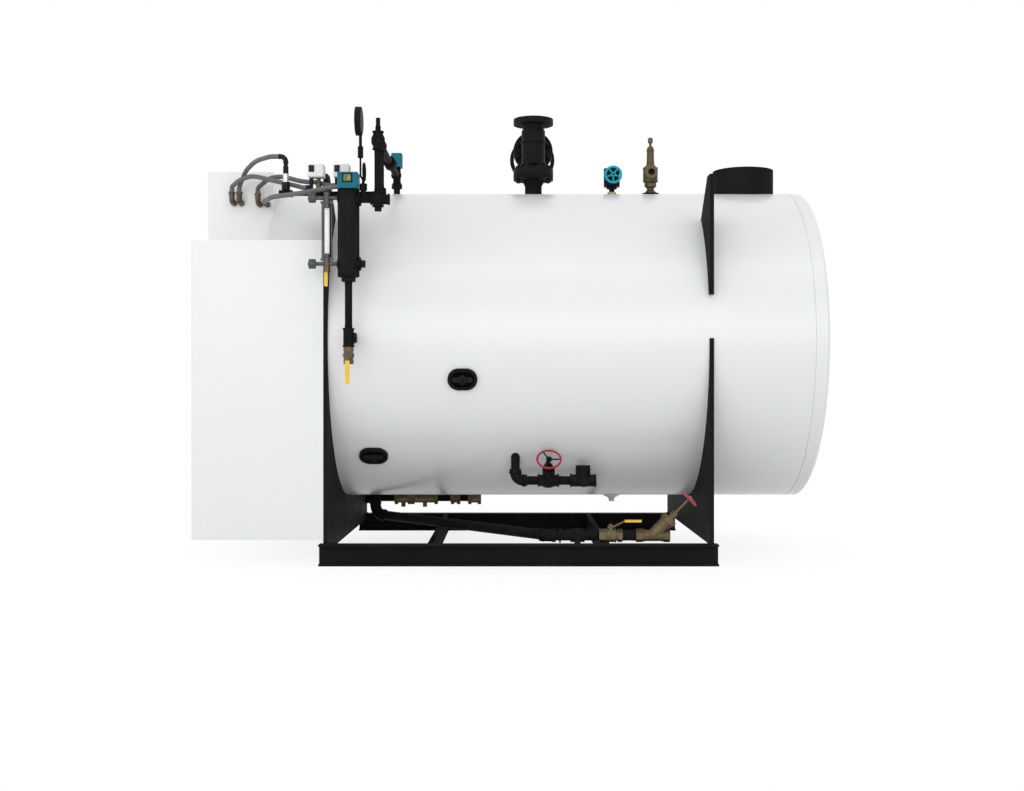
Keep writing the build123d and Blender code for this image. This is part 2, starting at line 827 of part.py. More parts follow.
with BuildPart() as safety_valve:
    foot_top = along(bushing_top, UP, safety_foot_height)
    turned(
        bushing_top,
        UP,
        [
            (safety_foot_radius, 0),
            (safety_foot_radius, 0.15 * safety_foot_height),
            (safety_waist_radius, 0.55 * safety_foot_height),
            (safety_waist_radius, 0.75 * safety_foot_height),
            (safety_hex_flats / 2, safety_foot_height),
        ],
    )
    safety_hex_top = along(foot_top, UP, safety_hex_height)
    hex_bar(foot_top, safety_hex_top, safety_hex_flats)
    body_shoulder = 0.12 * safety_body_height
    bonnet_top = safety_body_height + safety_bonnet_height
    neck_top = bonnet_top + safety_neck_height
    cap_top = neck_top + safety_cap_height
    turned(
        safety_hex_top,
        UP,
        [
            (safety_body_radius * 0.7, 0),
            (safety_body_radius, body_shoulder),
            (safety_body_radius, safety_body_height - body_shoulder),
            (safety_bonnet_radius * 1.25, safety_body_height),
            (safety_bonnet_radius, safety_body_height + body_shoulder),
            (safety_bonnet_radius * 0.9, bonnet_top),
            (safety_neck_radius, bonnet_top + body_shoulder),
            (safety_neck_radius, neck_top),
            (safety_cap_radius, neck_top),
            (safety_cap_radius, cap_top - safety_neck_radius / 2),
            (safety_cap_radius * 0.7, cap_top),
        ],
    )
    outlet_centre = along(safety_hex_top, UP, 0.59 * safety_body_height)
    outlet_face = along(outlet_centre, NEAR, safety_outlet_reach)
    rod(outlet_centre, outlet_face, safety_outlet_radius)
    outlet_seat = along(outlet_face, FAR, safety_outlet_depth)
    rod(outlet_seat, outlet_face, safety_outlet_bore, Mode.SUBTRACT)
finish(safety_valve, "safety_valve")

# Feedwater line under the near side of the shell
with BuildPart() as feedwater_pipe:
    feed_corner = (feed_riser_x, feed_y, feed_z)
    feed_valve_face = (feed_valve_x - feed_valve_length / 2, feed_y, feed_z)
    feed_check_face = (feed_check_x, feed_y, feed_z)
    rod(along(feed_corner, UP, feed_bend), (feed_riser_x, feed_y, shell_axis_z), feed_pipe_radius)
    elbow(feed_corner, UP, RIGHT, feed_bend, feed_fitting_radius)
    rod(along(feed_corner, RIGHT, feed_bend), feed_valve_face, feed_pipe_radius)
    rod(along(feed_valve_face, RIGHT, feed_valve_length), feed_check_face, feed_pipe_radius)
    saddle_cut()
finish(feedwater_pipe, "feedwater_pipe")

feed_stem = Vector(0, -sin(radians(feed_bonnet_tilt)), cos(radians(feed_bonnet_tilt)))
feed_centre = (feed_valve_x, feed_y, feed_z)
feed_bonnet_end = along(feed_centre, feed_stem, feed_bonnet_length)
feed_gland_end = along(feed_bonnet_end, feed_stem, feed_gland_length)

with BuildPart() as feedwater_valve:
    feed_end = feed_valve_length / 2
    belly_reach = 0.6 * feed_end
    turned(
        feed_valve_face,
        RIGHT,
        [
            (feed_fitting_radius, 0),
            (feed_fitting_radius, feed_end - belly_reach),
            (feed_valve_belly, feed_end - 0.4 * belly_reach),
            (feed_valve_belly, feed_end + 0.4 * belly_reach),
            (feed_fitting_radius, feed_end + belly_reach),
            (feed_fitting_radius, feed_valve_length),
        ],
    )
    rod(feed_centre, feed_bonnet_end, feed_bonnet_radius)
    rod(along(feed_centre, feed_stem, 0.7 * feed_bonnet_length), feed_bonnet_end, feed_bonnet_radius * 1.2)
    hex_bar(feed_bonnet_end, feed_gland_end, feed_gland_flats)
    rod(feed_bonnet_end, feed_gland_end, feed_stem_radius + bearing, Mode.SUBTRACT)
finish(feedwater_valve, "feedwater_valve")

with BuildPart() as feedwater_wheel:
    feed_hub = along(feed_centre, feed_stem, feed_wheel_reach)
    feed_hub_radius = 2 * feed_stem_radius
    feed_hub_length = 2 * feed_wheel_grip
    handwheel(
        feed_hub,
        feed_stem,
        feed_wheel_radius,
        feed_wheel_grip,
        3,
        feed_hub_radius,
        feed_hub_length,
        feed_spoke_angle,
    )
    feed_stem_end = along(feed_hub, feed_stem, feed_hub_length)
    rod(along(feed_bonnet_end, feed_stem, bearing), feed_stem_end, feed_stem_radius)
finish(feedwater_wheel, "feedwater_wheel")

with BuildPart() as feedwater_check_valve:
    check_middle = along(feed_check_face, RIGHT, feed_check_length / 2)
    check_end = along(feed_check_face, RIGHT, feed_check_length)
    rod(feed_check_face, check_end, feed_check_radius)
    rod(check_middle, along(check_middle, UP, feed_check_cap_reach), feed_check_cap_radius)
    rod(check_middle, along(check_middle, NEAR, feed_check_plug_reach), feed_check_cap_radius * 0.8)
    rod(along(check_end, LEFT, feed_inlet_depth), check_end, feed_pipe_radius, Mode.SUBTRACT)
finish(feedwater_check_valve, "feedwater_check_valve")

# Bottom blowdown: from under the shell across to the near rail, then along it
blow_tap_x = blow_tap_setback - shell_end
blow_corner = Vector(blow_tap_x, 0, shell_axis_z - shell_radius - blow_tap_drop)
blow_turn = Vector(shell_end - blow_turn_setback, blow_y, blow_z)
blow_ball_face = Vector(shell_end - blow_ball_setback, blow_y, blow_z)
blow_slant = blow_turn - blow_corner

with BuildPart() as blowdown_pipe:
    tap_root = Vector(blow_tap_x, 0, shell_axis_z)
    pipe_run([tap_root, blow_corner, blow_turn, blow_ball_face], blow_bend, blow_pipe_radius)
    elbow(blow_corner, UP, blow_slant, blow_bend, blow_fitting_radius)
    elbow(blow_turn, -blow_slant, RIGHT, blow_bend, blow_fitting_radius)
    clamp_centre = Vector(shell_end - blow_clamp_setback, blow_y, blow_z)
    for side in (LEFT, RIGHT):
        collar_start = along(clamp_centre, side, blow_support_thickness / 2 + seat)
        rod(collar_start, along(collar_start, side, blow_collar_length), blow_fitting_radius)
    saddle_cut()
finish(blowdown_pipe, "blowdown_pipe")

with BuildPart() as blowdown_support:
    with Locations((clamp_centre.X, blow_y, rail_height)):
        Box(blow_support_thickness, blow_support_width, blow_rise, align=UPRIGHT)
    clamp_start = along(clamp_centre, LEFT, blow_support_thickness / 2)
    clamp_end = along(clamp_start, RIGHT, blow_support_thickness)
    rod(clamp_start, clamp_end, blow_support_width / 2)
    rod(clamp_start, clamp_end, blow_pipe_radius + seat, Mode.SUBTRACT)
finish(blowdown_support, "blowdown_support")

lever_pivot = along(blow_ball_face, RIGHT, blow_ball_length / 2)
lever_seat = along(lever_pivot, UP, blow_ball_radius + blow_lever_stem)

with BuildPart() as blowdown_ball_valve:
    ball_end = along(blow_ball_face, RIGHT, blow_ball_length)
    hex_bar(blow_ball_face, along(blow_ball_face, RIGHT, 0.28 * blow_ball_length), blow_ball_flats)
    rod(along(blow_ball_face, RIGHT, 0.28 * blow_ball_length), ball_end, blow_ball_radius * 0.8)
    rod(
        along(blow_ball_face, RIGHT, 0.28 * blow_ball_length),
        along(blow_ball_face, RIGHT, 0.74 * blow_ball_length),
        blow_ball_radius,
    )
    hex_bar(along(blow_ball_face, RIGHT, 0.8 * blow_ball_length), ball_end, blow_ball_flats)
    rod(lever_pivot, lever_seat, 2 * blow_lever_stem)
    rod(along(lever_pivot, UP, blow_ball_radius / 2), lever_seat, blow_lever_stem + bearing, Mode.SUBTRACT)
finish(blowdown_ball_valve, "blowdown_ball_valve")

with BuildPart() as blowdown_lever:
    lever_plate = along(lever_seat, UP, bearing)
    grip_x = blow_lever_length - blow_grip_length
    with BuildSketch(Plane(origin=lever_plate, x_dir=RIGHT, z_dir=NEAR)):
        with BuildLine():
            Polyline(
                (-2 * blow_lever_stem, 0),
                (2 * blow_lever_stem, 0),
                (grip_x, blow_lever_rise),
                (blow_lever_length, blow_lever_rise),
                (blow_lever_length, blow_lever_rise + blow_lever_thickness),
                (grip_x - blow_lever_thickness / 2, blow_lever_rise + blow_lever_thickness),
                (2 * blow_lever_stem - blow_lever_thickness / 2, blow_lever_thickness),
                (-2 * blow_lever_stem, blow_lever_thickness),
                close=True,
            )
        make_face()
    extrude(amount=blow_lever_width / 2, both=True)
    grip_centre = (grip_x + blow_grip_length / 2, 0, blow_lever_rise + blow_lever_thickness / 2)
    with Locations(lever_plate + Vector(grip_centre)):
        Box(blow_grip_length, blow_lever_width + blow_lever_thickness, blow_grip_thickness)
    fillet(blowdown_lever.edges().filter_by(Axis.Z).group_by(Axis.X)[-1], radius=blow_lever_width / 3)
    lever_top = along(lever_plate, UP, blow_lever_thickness)
    hex_bar(lever_top, along(lever_top, UP, blow_nut_height), blow_nut_flats)
    rod(along(lever_pivot, UP, blow_ball_radius / 2 + bearing), lever_plate, blow_lever_stem)
finish(blowdown_lever, "blowdown_lever")

y_stem = Vector(cos(radians(blow_y_tilt)), 0, sin(radians(blow_y_tilt)))
y_face = Vector(shell_end - blow_y_setback, blow_y, blow_z)
y_centre = along(y_face, RIGHT, blow_y_length / 2)
y_branch_end = along(y_centre, y_stem, blow_y_branch_length)
y_gland_end = along(y_branch_end, y_stem, blow_y_gland_length)

with BuildPart() as blowdown_y_valve:
    y_end = along(y_face, RIGHT, blow_y_length)
    rod(along(blow_ball_face, RIGHT, blow_ball_length), y_face, blow_pipe_radius)
    rod(y_face, y_end, blow_y_radius * 0.85)
    hex_bar(y_face, along(y_face, RIGHT, 0.2 * blow_y_length), blow_ball_flats)
    hex_bar(along(y_face, RIGHT, 0.82 * blow_y_length), y_end, blow_ball_flats)
    rod(y_centre, y_branch_end, blow_y_branch_radius)
    hex_bar(along(y_centre, y_stem, 0.78 * blow_y_branch_length), y_branch_end, 2.2 * blow_y_branch_radius)
    hex_bar(y_branch_end, y_gland_end, blow_y_gland_flats)
    rod(y_branch_end, y_gland_end, blow_y_stem_radius + bearing, Mode.SUBTRACT)
    rod(along(y_end, LEFT, blow_outlet_depth), y_end, blow_pipe_radius, Mode.SUBTRACT)
finish(blowdown_y_valve, "blowdown_y_valve")

with BuildPart() as blowdown_wheel:
    y_hub = along(y_centre, y_stem, blow_wheel_reach)
    y_hub_radius = 1.8 * blow_y_stem_radius
    handwheel(y_hub, y_stem, blow_wheel_radius, blow_wheel_grip, 4, y_hub_radius, 2 * blow_wheel_grip)
    rod(along(y_branch_end, y_stem, bearing), along(y_hub, y_stem, 2 * blow_wheel_grip), blow_y_stem_radius)
finish(blowdown_wheel, "blowdown_wheel")


# Handholes: an oval ring on the jacket, and a cover held by a yoke bar and nut
def handhole_plane(place):
    """The tangent plane on the near side of the shell at a (setback, rise) place."""
    setback, rise = place
    side = -sqrt(shell_radius**2 - rise**2)
    centre = (setback - shell_end, side, shell_axis_z + rise)
    return Plane(origin=centre, x_dir=RIGHT, z_dir=(0, side, rise))


with BuildPart() as handhole_rings:
    for place in handhole_places:
        with BuildSketch(handhole_plane(place)) as ring:
            SlotOverall(handhole_ring_length, handhole_ring_height)
            SlotOverall(handhole_length, handhole_height, mode=Mode.SUBTRACT)
        extrude(ring.sketch, amount=handhole_stand)
        extrude(ring.sketch, amount=-handhole_stand)
    saddle_cut()
finish(handhole_rings, "handhole_rings")

with BuildPart() as handhole_covers:
    for place in handhole_places:
        cover_plane = handhole_plane(place)
        with BuildSketch(cover_plane) as cover:
            SlotOverall(handhole_length - 2 * handhole_cover_gap, handhole_height - 2 * handhole_cover_gap)
        extrude(cover.sketch, amount=handhole_cover_stand)
        extrude(cover.sketch, amount=-handhole_stand)
        with BuildSketch(cover_plane) as bar:
            SlotOverall(handhole_length - 4 * handhole_cover_gap, yoke_bar_width)
        extrude(bar.sketch, amount=yoke_bar_stand)
        nut_top = along(cover_plane.origin, cover_plane.z_dir, yoke_nut_stand)
        hex_bar(cover_plane.origin, nut_top, yoke_nut_flats)
    saddle_cut()
finish(handhole_covers, "handhole_covers")

with BuildPart() as drain_boss:
    turned(
        (drain_x, 0, shell_axis_z - shell_radius + drain_length),
        DOWN,
        [
            (drain_flare_radius, 0),
            (drain_flare_radius, drain_length),
            (drain_neck_radius * 1.3, 1.5 * drain_length),
            (drain_neck_radius, 2 * drain_length),
        ],
    )
    saddle_cut()
finish(drain_boss, "drain_boss")

# Water column: casting, control head, and the pipe and drain valve below it
column_base = Vector(column_x, trim_y, shell_axis_z + column_base_rise)
column_top = along(column_base, UP, column_height)
column_neck = along(column_base, DOWN, column_taper)
tee_centre = Vector(column_x, trim_y, shell_axis_z + tee_rise)
tee_top = along(tee_centre, UP, tee_height / 2)
tee_bottom = along(tee_centre, DOWN, tee_height / 2)

with BuildPart() as water_column:
    turned(
        column_neck,
        UP,
        [
            (column_neck_radius, 0),
            (column_neck_radius, 0.8 * column_taper),
            (column_radius, column_taper),
            (column_radius, column_taper + column_height),
        ],
    )
    with Locations(along(column_base, UP, column_height / 2)):
        Box(2 * (column_radius + column_rib), 2 * column_rib, column_height)
    boss_reach = column_radius + column_boss_stand
    for rise in (header_rise, glass_bottom_rise):
        header_boss = Vector(column_x, trim_y, shell_axis_z + rise)
        rod(header_boss, along(header_boss, RIGHT, boss_reach), column_boss_radius)
    for rise in (glass_top_rise, glass_bottom_rise):
        glass_boss = Vector(column_x, trim_y, shell_axis_z + rise)
        rod(glass_boss, along(glass_boss, LEFT, boss_reach), column_glass_boss)
    plug_face = along(header_boss, RIGHT, column_radius)
    hex_bar(plug_face, along(plug_face, RIGHT, column_plug_reach), column_plug_flats)
finish(water_column, "water_column")

with BuildPart() as column_head:
    with Locations(column_top):
        Box(head_length, head_depth, head_height, align=UPRIGHT)
    fillet(column_head.edges().filter_by(Axis.Z), radius=head_edge_radius)
    fillet(column_head.faces().sort_by(Axis.Z)[-1].edges(), radius=head_edge_radius / 2)
    with Locations(along(along(column_top, NEAR, head_depth / 2), UP, 0.62 * head_height)):
        Box(head_window_length, 2 * head_window_stand, head_window_height)
finish(column_head, "column_head")

with BuildPart() as column_pipe:
    rod(tee_bottom, column_neck, column_pipe_radius)
    rod(tee_bottom, tee_top, column_fitting_radius)
    tee_back = along(tee_centre, FAR, tee_height / 2)
    rod(tee_centre, tee_back, column_fitting_radius)
    hex_bar(tee_back, along(tee_back, FAR, tee_union_length), tee_union_flats)
    rod(tee_centre, (column_x, 0, tee_centre.Z), column_pipe_radius)
    saddle_cut()
finish(column_pipe, "column_pipe")

drain_middle = along(tee_bottom, DOWN, drain_valve_height / 2)
drain_stem_end = along(drain_middle, NEAR, drain_stem_reach)

with BuildPart() as column_drain_valve:
    drain_end = along(tee_bottom, DOWN, drain_valve_height)
    hex_bar(tee_bottom, along(tee_bottom, DOWN, 0.28 * drain_valve_height), drain_valve_flats)
    rod(tee_bottom, drain_end, drain_valve_radius * 0.85)
    with Locations(drain_middle):
        Sphere(drain_valve_radius * 1.15)
    hex_bar(along(drain_end, UP, 0.28 * drain_valve_height), drain_end, drain_valve_flats)
    rod(drain_middle, drain_stem_end, 2 * drain_stem_radius)
    stem_depth = 2 * drain_lever_thickness
    rod(along(drain_stem_end, FAR, stem_depth), drain_stem_end, drain_stem_radius + bearing, Mode.SUBTRACT)
    rod(drain_end, along(drain_end, UP, 0.28 * drain_valve_height), column_pipe_radius * 0.7, Mode.SUBTRACT)
finish(column_drain_valve, "column_drain_valve")


def hanging_lever(pivot, width, thickness, length, stem_radius):
    """A flat lever that hangs from a stem on the near side of its valve."""
    plate = along(pivot, NEAR, bearing)
    with BuildSketch(Plane(origin=plate, x_dir=RIGHT, z_dir=NEAR)) as face:
        with Locations((0, width / 2 - length / 2)):
            SlotOverall(length, width, rotation=90)
    extrude(face.sketch, amount=thickness)
    rod(along(pivot, FAR, 2 * thickness - bearing), plate, stem_radius)
    hex_bar(along(plate, NEAR, thickness), along(plate, NEAR, 2 * thickness), 3 * stem_radius)


with BuildPart() as column_drain_lever:
    hanging_lever(
        drain_stem_end,
        drain_lever_width,
        drain_lever_thickness,
        drain_lever_length,
        drain_stem_radius,
    )
finish(column_drain_lever, "column_drain_lever")

# Gauge glass beside the column, between two angle valves
glass_top = Vector(glass_x, trim_y, shell_axis_z + glass_top_rise)
glass_bottom = Vector(glass_x, trim_y, shell_axis_z + glass_bottom_rise)
valve_half = glass_valve_height / 2
column_boss_x = column_x - column_radius - column_boss_stand

with BuildPart() as gauge_valves:
    for centre, inward in ((glass_top, DOWN), (glass_bottom, UP)):
        rod(along(centre, DOWN, valve_half), along(centre, UP, valve_half), glass_valve_radius)
        rod(along(centre, LEFT, glass_knob_far), (column_boss_x, trim_y, centre.Z), glass_arm_radius)
        rod(along(centre, LEFT, glass_knob_near), along(centre, LEFT, glass_knob_far), glass_knob_radius)
        with Locations(along(centre, inward, valve_half - guard_ear_height / 2)):
            Box(2 * guard_rod_gauge + 4 * guard_rod_radius, 4 * guard_rod_radius, guard_ear_height)
finish(gauge_valves, "gauge_valves")

with BuildPart() as gauge_glass:
    rod(along(glass_bottom, UP, valve_half), along(glass_top, DOWN, valve_half), glass_radius)
finish(gauge_glass, "gauge_glass")

with BuildPart() as gauge_guard_rods:
    for side in (-1, 1):
        rod_top = along(along(glass_top, DOWN, valve_half), RIGHT, side * guard_rod_gauge)
        rod_bottom = along(along(glass_bottom, UP, valve_half), RIGHT, side * guard_rod_gauge)
        rod(rod_bottom, rod_top, guard_rod_radius)
finish(gauge_guard_rods, "gauge_guard_rods")

gauge_drain_top = along(glass_bottom, DOWN, valve_half)
gauge_pivot = along(along(gauge_drain_top, DOWN, gauge_drain_length / 2), NEAR, gauge_stem_reach)

with BuildPart() as gauge_drain_valve:
    gauge_drain_end = along(gauge_drain_top, DOWN, gauge_drain_length)
    rod(gauge_drain_top, gauge_drain_end, gauge_drain_radius)
    hex_bar(gauge_drain_top, along(gauge_drain_top, DOWN, gauge_drain_length / 4), 2.3 * gauge_drain_radius)
    rod(along(gauge_pivot, FAR, gauge_stem_reach), gauge_pivot, 2 * gauge_stem_radius)
    gauge_socket = along(gauge_pivot, FAR, 2 * gauge_lever_thickness)
    rod(gauge_socket, gauge_pivot, gauge_stem_radius + bearing, Mode.SUBTRACT)
finish(gauge_drain_valve, "gauge_drain_valve")

with BuildPart() as gauge_drain_lever:
    hanging_lever(
        gauge_pivot,
        gauge_lever_width,
        gauge_lever_thickness,
        gauge_lever_length,
        gauge_stem_radius,
    )
finish(gauge_drain_lever, "gauge_drain_lever")

# Steam header from the column to the riser, and over to the level probe on the crown
riser_base = Vector(riser_x, trim_y, header_z)
riser_top = Vector(riser_x, trim_y, shell_top + riser_over_crown)
probe_tee = Vector(riser_x, 0, riser_top.Z)
header_start = Vector(column_x + column_radius + column_boss_stand, trim_y, header_z)

with BuildPart() as steam_header:
    header_end = Vector(column_x + header_length, trim_y, header_z)
    rod(header_start, header_end, header_radius)
    rod(along(riser_base, LEFT, header_cross_reach), header_end, header_fitting_radius)
    rod(riser_base, riser_top, header_radius)
    cross_bottom = along(riser_base, DOWN, header_cross_reach)
    rod(cross_bottom, along(riser_base, UP, header_cross_reach), header_fitting_radius)
    hex_bar(riser_base, along(riser_base, DOWN, header_plug_drop), header_plug_flats)
    tee_half = riser_tee_height / 2
    rod(along(riser_top, DOWN, tee_half), along(riser_top, UP, tee_half), header_fitting_radius)
    turned(
        along(riser_top, UP, tee_half),
        UP,
        [
            (riser_plug_radius, 0),
            (riser_plug_radius, riser_plug_foot),
            (riser_plug_radius * 0.8, 1.2 * riser_plug_foot),
            (riser_plug_radius * 0.8, riser_plug_height),
        ],
    )
    rod(riser_top, along(riser_top, FAR, tee_half), header_fitting_radius)
    rod(riser_top, probe_tee, header_radius)
    drop_top = Vector(riser_x, manifold_y, riser_top.Z)
    drop_end = Vector(riser_x, manifold_y, manifold_z)
    rod(along(drop_top, NEAR, drop_tee_half), along(drop_top, FAR, drop_tee_half), header_fitting_radius)
    rod(drop_top, along(drop_top, DOWN, drop_tee_half), header_fitting_radius)
    rod(drop_top, along(drop_end, UP, drop_elbow_reach), header_radius)
    rod(along(probe_tee, NEAR, tee_half), probe_tee, header_fitting_radius)
    probe_seat = along(probe_tee, UP, probe_box_lift - probe_box_height / 2)
    rod(along(probe_tee, DOWN, tee_half), probe_seat, probe_pipe_radius * 1.2)
    rod((riser_x, 0, shell_axis_z), probe_tee, probe_pipe_radius)
    union_foot = along(probe_tee, DOWN, tee_half)
    hex_bar(along(union_foot, DOWN, probe_union_height / 2), union_foot, probe_union_flats)
    saddle_cut()
finish(steam_header, "steam_header")

with BuildPart() as probe_box:
    with Locations(probe_seat):
        Box(probe_box_length, probe_box_depth, probe_box_height, align=UPRIGHT)
    fillet(probe_box.edges().filter_by(Axis.Z), radius=head_edge_radius)
    fillet(probe_box.faces().sort_by(Axis.Z)[-1].edges(), radius=head_edge_radius / 2)
finish(probe_box, "probe_box")

# Pressure gauge on a looped siphon, its dial towards the burner end
siphon_base = Vector(column_x + siphon_standoff, trim_y, header_z)
siphon_centre = Vector(siphon_base.X + siphon_loop_offset, trim_y, shell_axis_z + siphon_rise)
dial_centre = Vector(column_x + dial_standoff, trim_y, shell_axis_z + dial_rise)
dial_foot = along(along(dial_centre, RIGHT, gauge_stem_offset), DOWN, dial_radius)

with BuildPart() as gauge_siphon:
    neck_foot = along(siphon_base, UP, header_radius / 2)
    fitting_foot = along(siphon_base, UP, header_radius + siphon_neck_height)
    fitting_top = along(fitting_foot, UP, siphon_fitting_height)
    rod(neck_foot, fitting_foot, siphon_neck_radius)
    hex_bar(fitting_foot, fitting_top, siphon_fitting_flats)
    loop_foot = Vector(siphon_base.X, trim_y, siphon_centre.Z - siphon_loop_radius)
    rod(fitting_foot, loop_foot, siphon_stem_radius)
    with Locations(Plane(origin=siphon_centre, z_dir=RIGHT).location):
        Torus(siphon_loop_radius, siphon_tube_radius * 1.1)
    cock_top = along(dial_foot, DOWN, cock_drop)
    cock_foot = along(cock_top, DOWN, cock_height)
    tube_knee = Vector(dial_foot.X, trim_y, loop_foot.Z + siphon_loop_radius / 2)
    pipe_run([cock_foot, tube_knee, loop_foot], siphon_tube_radius * 2, siphon_tube_radius)
    hex_bar(cock_foot, cock_top, cock_flats)
    rod(cock_top, dial_foot, siphon_stem_radius)
    rod(
        along(siphon_base, LEFT, 4 * header_radius),
        along(siphon_base, RIGHT, 4 * header_radius),
        header_radius + seat,
        Mode.SUBTRACT,
    )
finish(gauge_siphon, "gauge_siphon")

with BuildPart() as pressure_gauge:
    dial_back = along(dial_centre, RIGHT, dial_depth / 2)
    turned(
        dial_back,
        LEFT,
        [
            (dial_radius - dial_rim, 0),
            (dial_radius - dial_rim, dial_depth - 2 * dial_rim),
            (dial_radius, dial_depth - 2 * dial_rim),
            (dial_radius, dial_depth),
            (dial_radius - dial_rim, dial_depth),
            (dial_radius - dial_rim, dial_depth - dial_recess),
        ],
    )
    rod(dial_foot, along(dial_foot, UP, dial_radius), siphon_stem_radius)
    rod(
        along(dial_centre, LEFT, dial_depth / 2 - dial_recess),
        along(dial_centre, LEFT, dial_depth),
        dial_radius - dial_rim,
        Mode.SUBTRACT,
    )
finish(pressure_gauge, "pressure_gauge")

# Control manifold with two pressure controls and a transmitter
manifold_end = Vector(riser_x, manifold_y, manifold_z)
manifold_start = along(manifold_end, LEFT, manifold_length)
control_y = manifold_y - control_forward
control_z = shell_axis_z + control_rise

with BuildPart() as control_manifold:
    rod(manifold_start, manifold_end, manifold_radius)
    rod(manifold_end, along(drop_end, UP, drop_elbow_reach - seat), header_fitting_radius)
    manifold_elbow = along(manifold_end, LEFT, drop_elbow_reach)
    rod(manifold_elbow, along(manifold_end, RIGHT, drop_elbow_reach), 0.9 * header_fitting_radius)
    for x in (*[x + control_port_x for x in control_xs], transmitter_x):
        station = Vector(x, manifold_y, manifold_z)
        tee_start = along(station, LEFT, manifold_tee_length / 2)
        rod(tee_start, along(tee_start, RIGHT, manifold_tee_length), 1.5 * manifold_radius)
        rod(station, along(station, UP, manifold_tee_rise), 1.4 * manifold_radius)
finish(control_manifold, "control_manifold")

with BuildPart() as pressure_controls:
    for x in control_xs:
        with Locations((x + control_length / 2, control_y, control_z)):
            Box(control_length, control_depth, control_height, align=UPRIGHT)
    fillet(pressure_controls.edges(), radius=control_edge_radius)
    for x in control_xs:
        window_x = x + control_window_inset + control_window_length / 2
        window_z = control_z + control_height - control_window_inset - control_window_height / 2
        with Locations((window_x, control_y - control_depth / 2, window_z)):
            Box(control_window_length, 2 * control_window_stand, control_window_height)
finish(pressure_controls, "pressure_controls")

leg_corners = [
    Vector(x + control_leg_x, manifold_y, control_z - drop)
    for x, drop in zip(control_xs, control_leg_drops)
]

with BuildPart() as control_fittings:
    station_top = manifold_z + manifold_tee_rise
    for x, leg_corner in zip(control_xs, leg_corners):
        port = Vector(x + control_port_x, manifold_y, station_top)
        rod(port, (port.X, manifold_y, control_z), control_leg_radius)
        port_nut = along(port, UP, control_port_lift)
        hex_bar(port_nut, along(port_nut, UP, control_nut_length), control_port_flats)
        rod((leg_corner.X, leg_corner.Y, control_z), leg_corner, control_leg_radius)
        with Locations(leg_corner):
            Sphere(control_leg_radius)
        leg_mouth = along(leg_corner, LEFT, control_leg_reach)
        rod(leg_corner, leg_mouth, control_leg_radius)
        hex_bar(along(leg_mouth, RIGHT, control_leg_nut), leg_mouth, control_port_flats)
finish(control_fittings, "control_fittings")

with BuildPart() as pressure_transmitter:
    probe_foot = Vector(transmitter_x, manifold_y, station_top)
    body_foot = along(probe_foot, UP, transmitter_base_height)
    body_top = along(body_foot, UP, transmitter_body_height)
    head_corner = along(body_top, UP, transmitter_head_height + transmitter_head_radius)
    hex_bar(probe_foot, body_foot, transmitter_base_flats)
    rod(body_foot, body_top, transmitter_body_radius)
    rod(body_top, along(body_top, UP, transmitter_head_height / 2), transmitter_head_radius)
    elbow(head_corner, DOWN, LEFT, transmitter_bend, transmitter_head_radius)
    rod(body_top, along(head_corner, DOWN, transmitter_head_radius), transmitter_head_radius * 0.8)
finish(pressure_transmitter, "pressure_transmitter")

# Elbow connectors on the near face of the upper cabinet
cabinet_face_y = -upper_cabinet_width / 2
connector_walls = [
    Vector(cabinet_front_x + setback, cabinet_face_y, upper_cabinet_top_z - depth)
    for setback, depth in zip(connector_setbacks, connector_depths)
]
connector_corners = [along(wall, NEAR, connector_standoff) for wall in connector_walls]
connector_mouths = [along(corner, UP, connector_drop) for corner in connector_corners]
straight_x = cabinet_front_x + straight_setback
straight_wall = Vector(straight_x, cabinet_face_y, upper_cabinet_top_z - straight_depth)
straight_mouth = along(straight_wall, NEAR, straight_reach)

with BuildPart() as conduit_connectors:
    for wall, corner, mouth in zip(connector_walls, connector_corners, connector_mouths):
        pipe_run([wall, corner, mouth], connector_bend, connector_radius)
        hex_bar(wall, along(wall, NEAR, connector_nut), connector_flats)
        hex_bar(along(mouth, DOWN, connector_nut), mouth, connector_flats)
    rod(straight_wall, straight_mouth, connector_radius)
    hex_bar(straight_wall, along(straight_wall, NEAR, connector_nut), connector_flats)
    hex_bar(along(straight_mouth, FAR, connector_nut), straight_mouth, connector_flats)
finish(conduit_connectors, "conduit_connectors")


# Flexible conduits, each from a control to its connector
def conduit(start, mouth, outward, lead, route):
    """A conduit along its route, each arc as wide as the two runs beside it allow."""
    points = [start, along(start, LEFT, lead)]
    for share_x, share_y, height in route:
        x = start.X + share_x * (mouth.X - start.X)
        y = start.Y + share_y * (mouth.Y - start.Y)
        points.append(Vector(x, y, mouth.Z + height))
    points += [along(mouth, outward, conduit_rise), mouth]
    radii = []
    for before, corner, after in zip(points, points[1:], points[2:]):
        first = corner - before
        second = after - corner
        shorter = min(first.length, second.length)
        radii.append(conduit_bend_share * shorter / tan(radians(first.get_angle(second) / 2)))
    pipe_run(points, radii, conduit_radius)


with BuildPart() as conduits:
    elbow_reach = transmitter_bend + elbow_collar_share * transmitter_head_radius
    first_leg, second_leg = [along(corner, LEFT, control_leg_reach) for corner in leg_corners]
    conduit_starts = (
        first_leg,
        along(head_corner, LEFT, elbow_reach),
        second_leg,
        Vector(column_x - head_length / 2, trim_y, column_top.Z + head_height / 6),
    )
    conduit_ends = (*connector_mouths, straight_mouth)
    conduit_outward = (UP, UP, UP, NEAR)
    for place in zip(conduit_starts, conduit_ends, conduit_outward, conduit_leads, conduit_routes):
        conduit(*place)
finish(conduits, "conduits")

# Gas train along the far side
gas_pipe_start = Vector(plate_thickness - shell_end, gas_y, gas_z)
gas_valve_start = Vector(gas_valve_setback - shell_end, gas_y, gas_z)
gas_valve_end = along(gas_valve_start, RIGHT, gas_length)

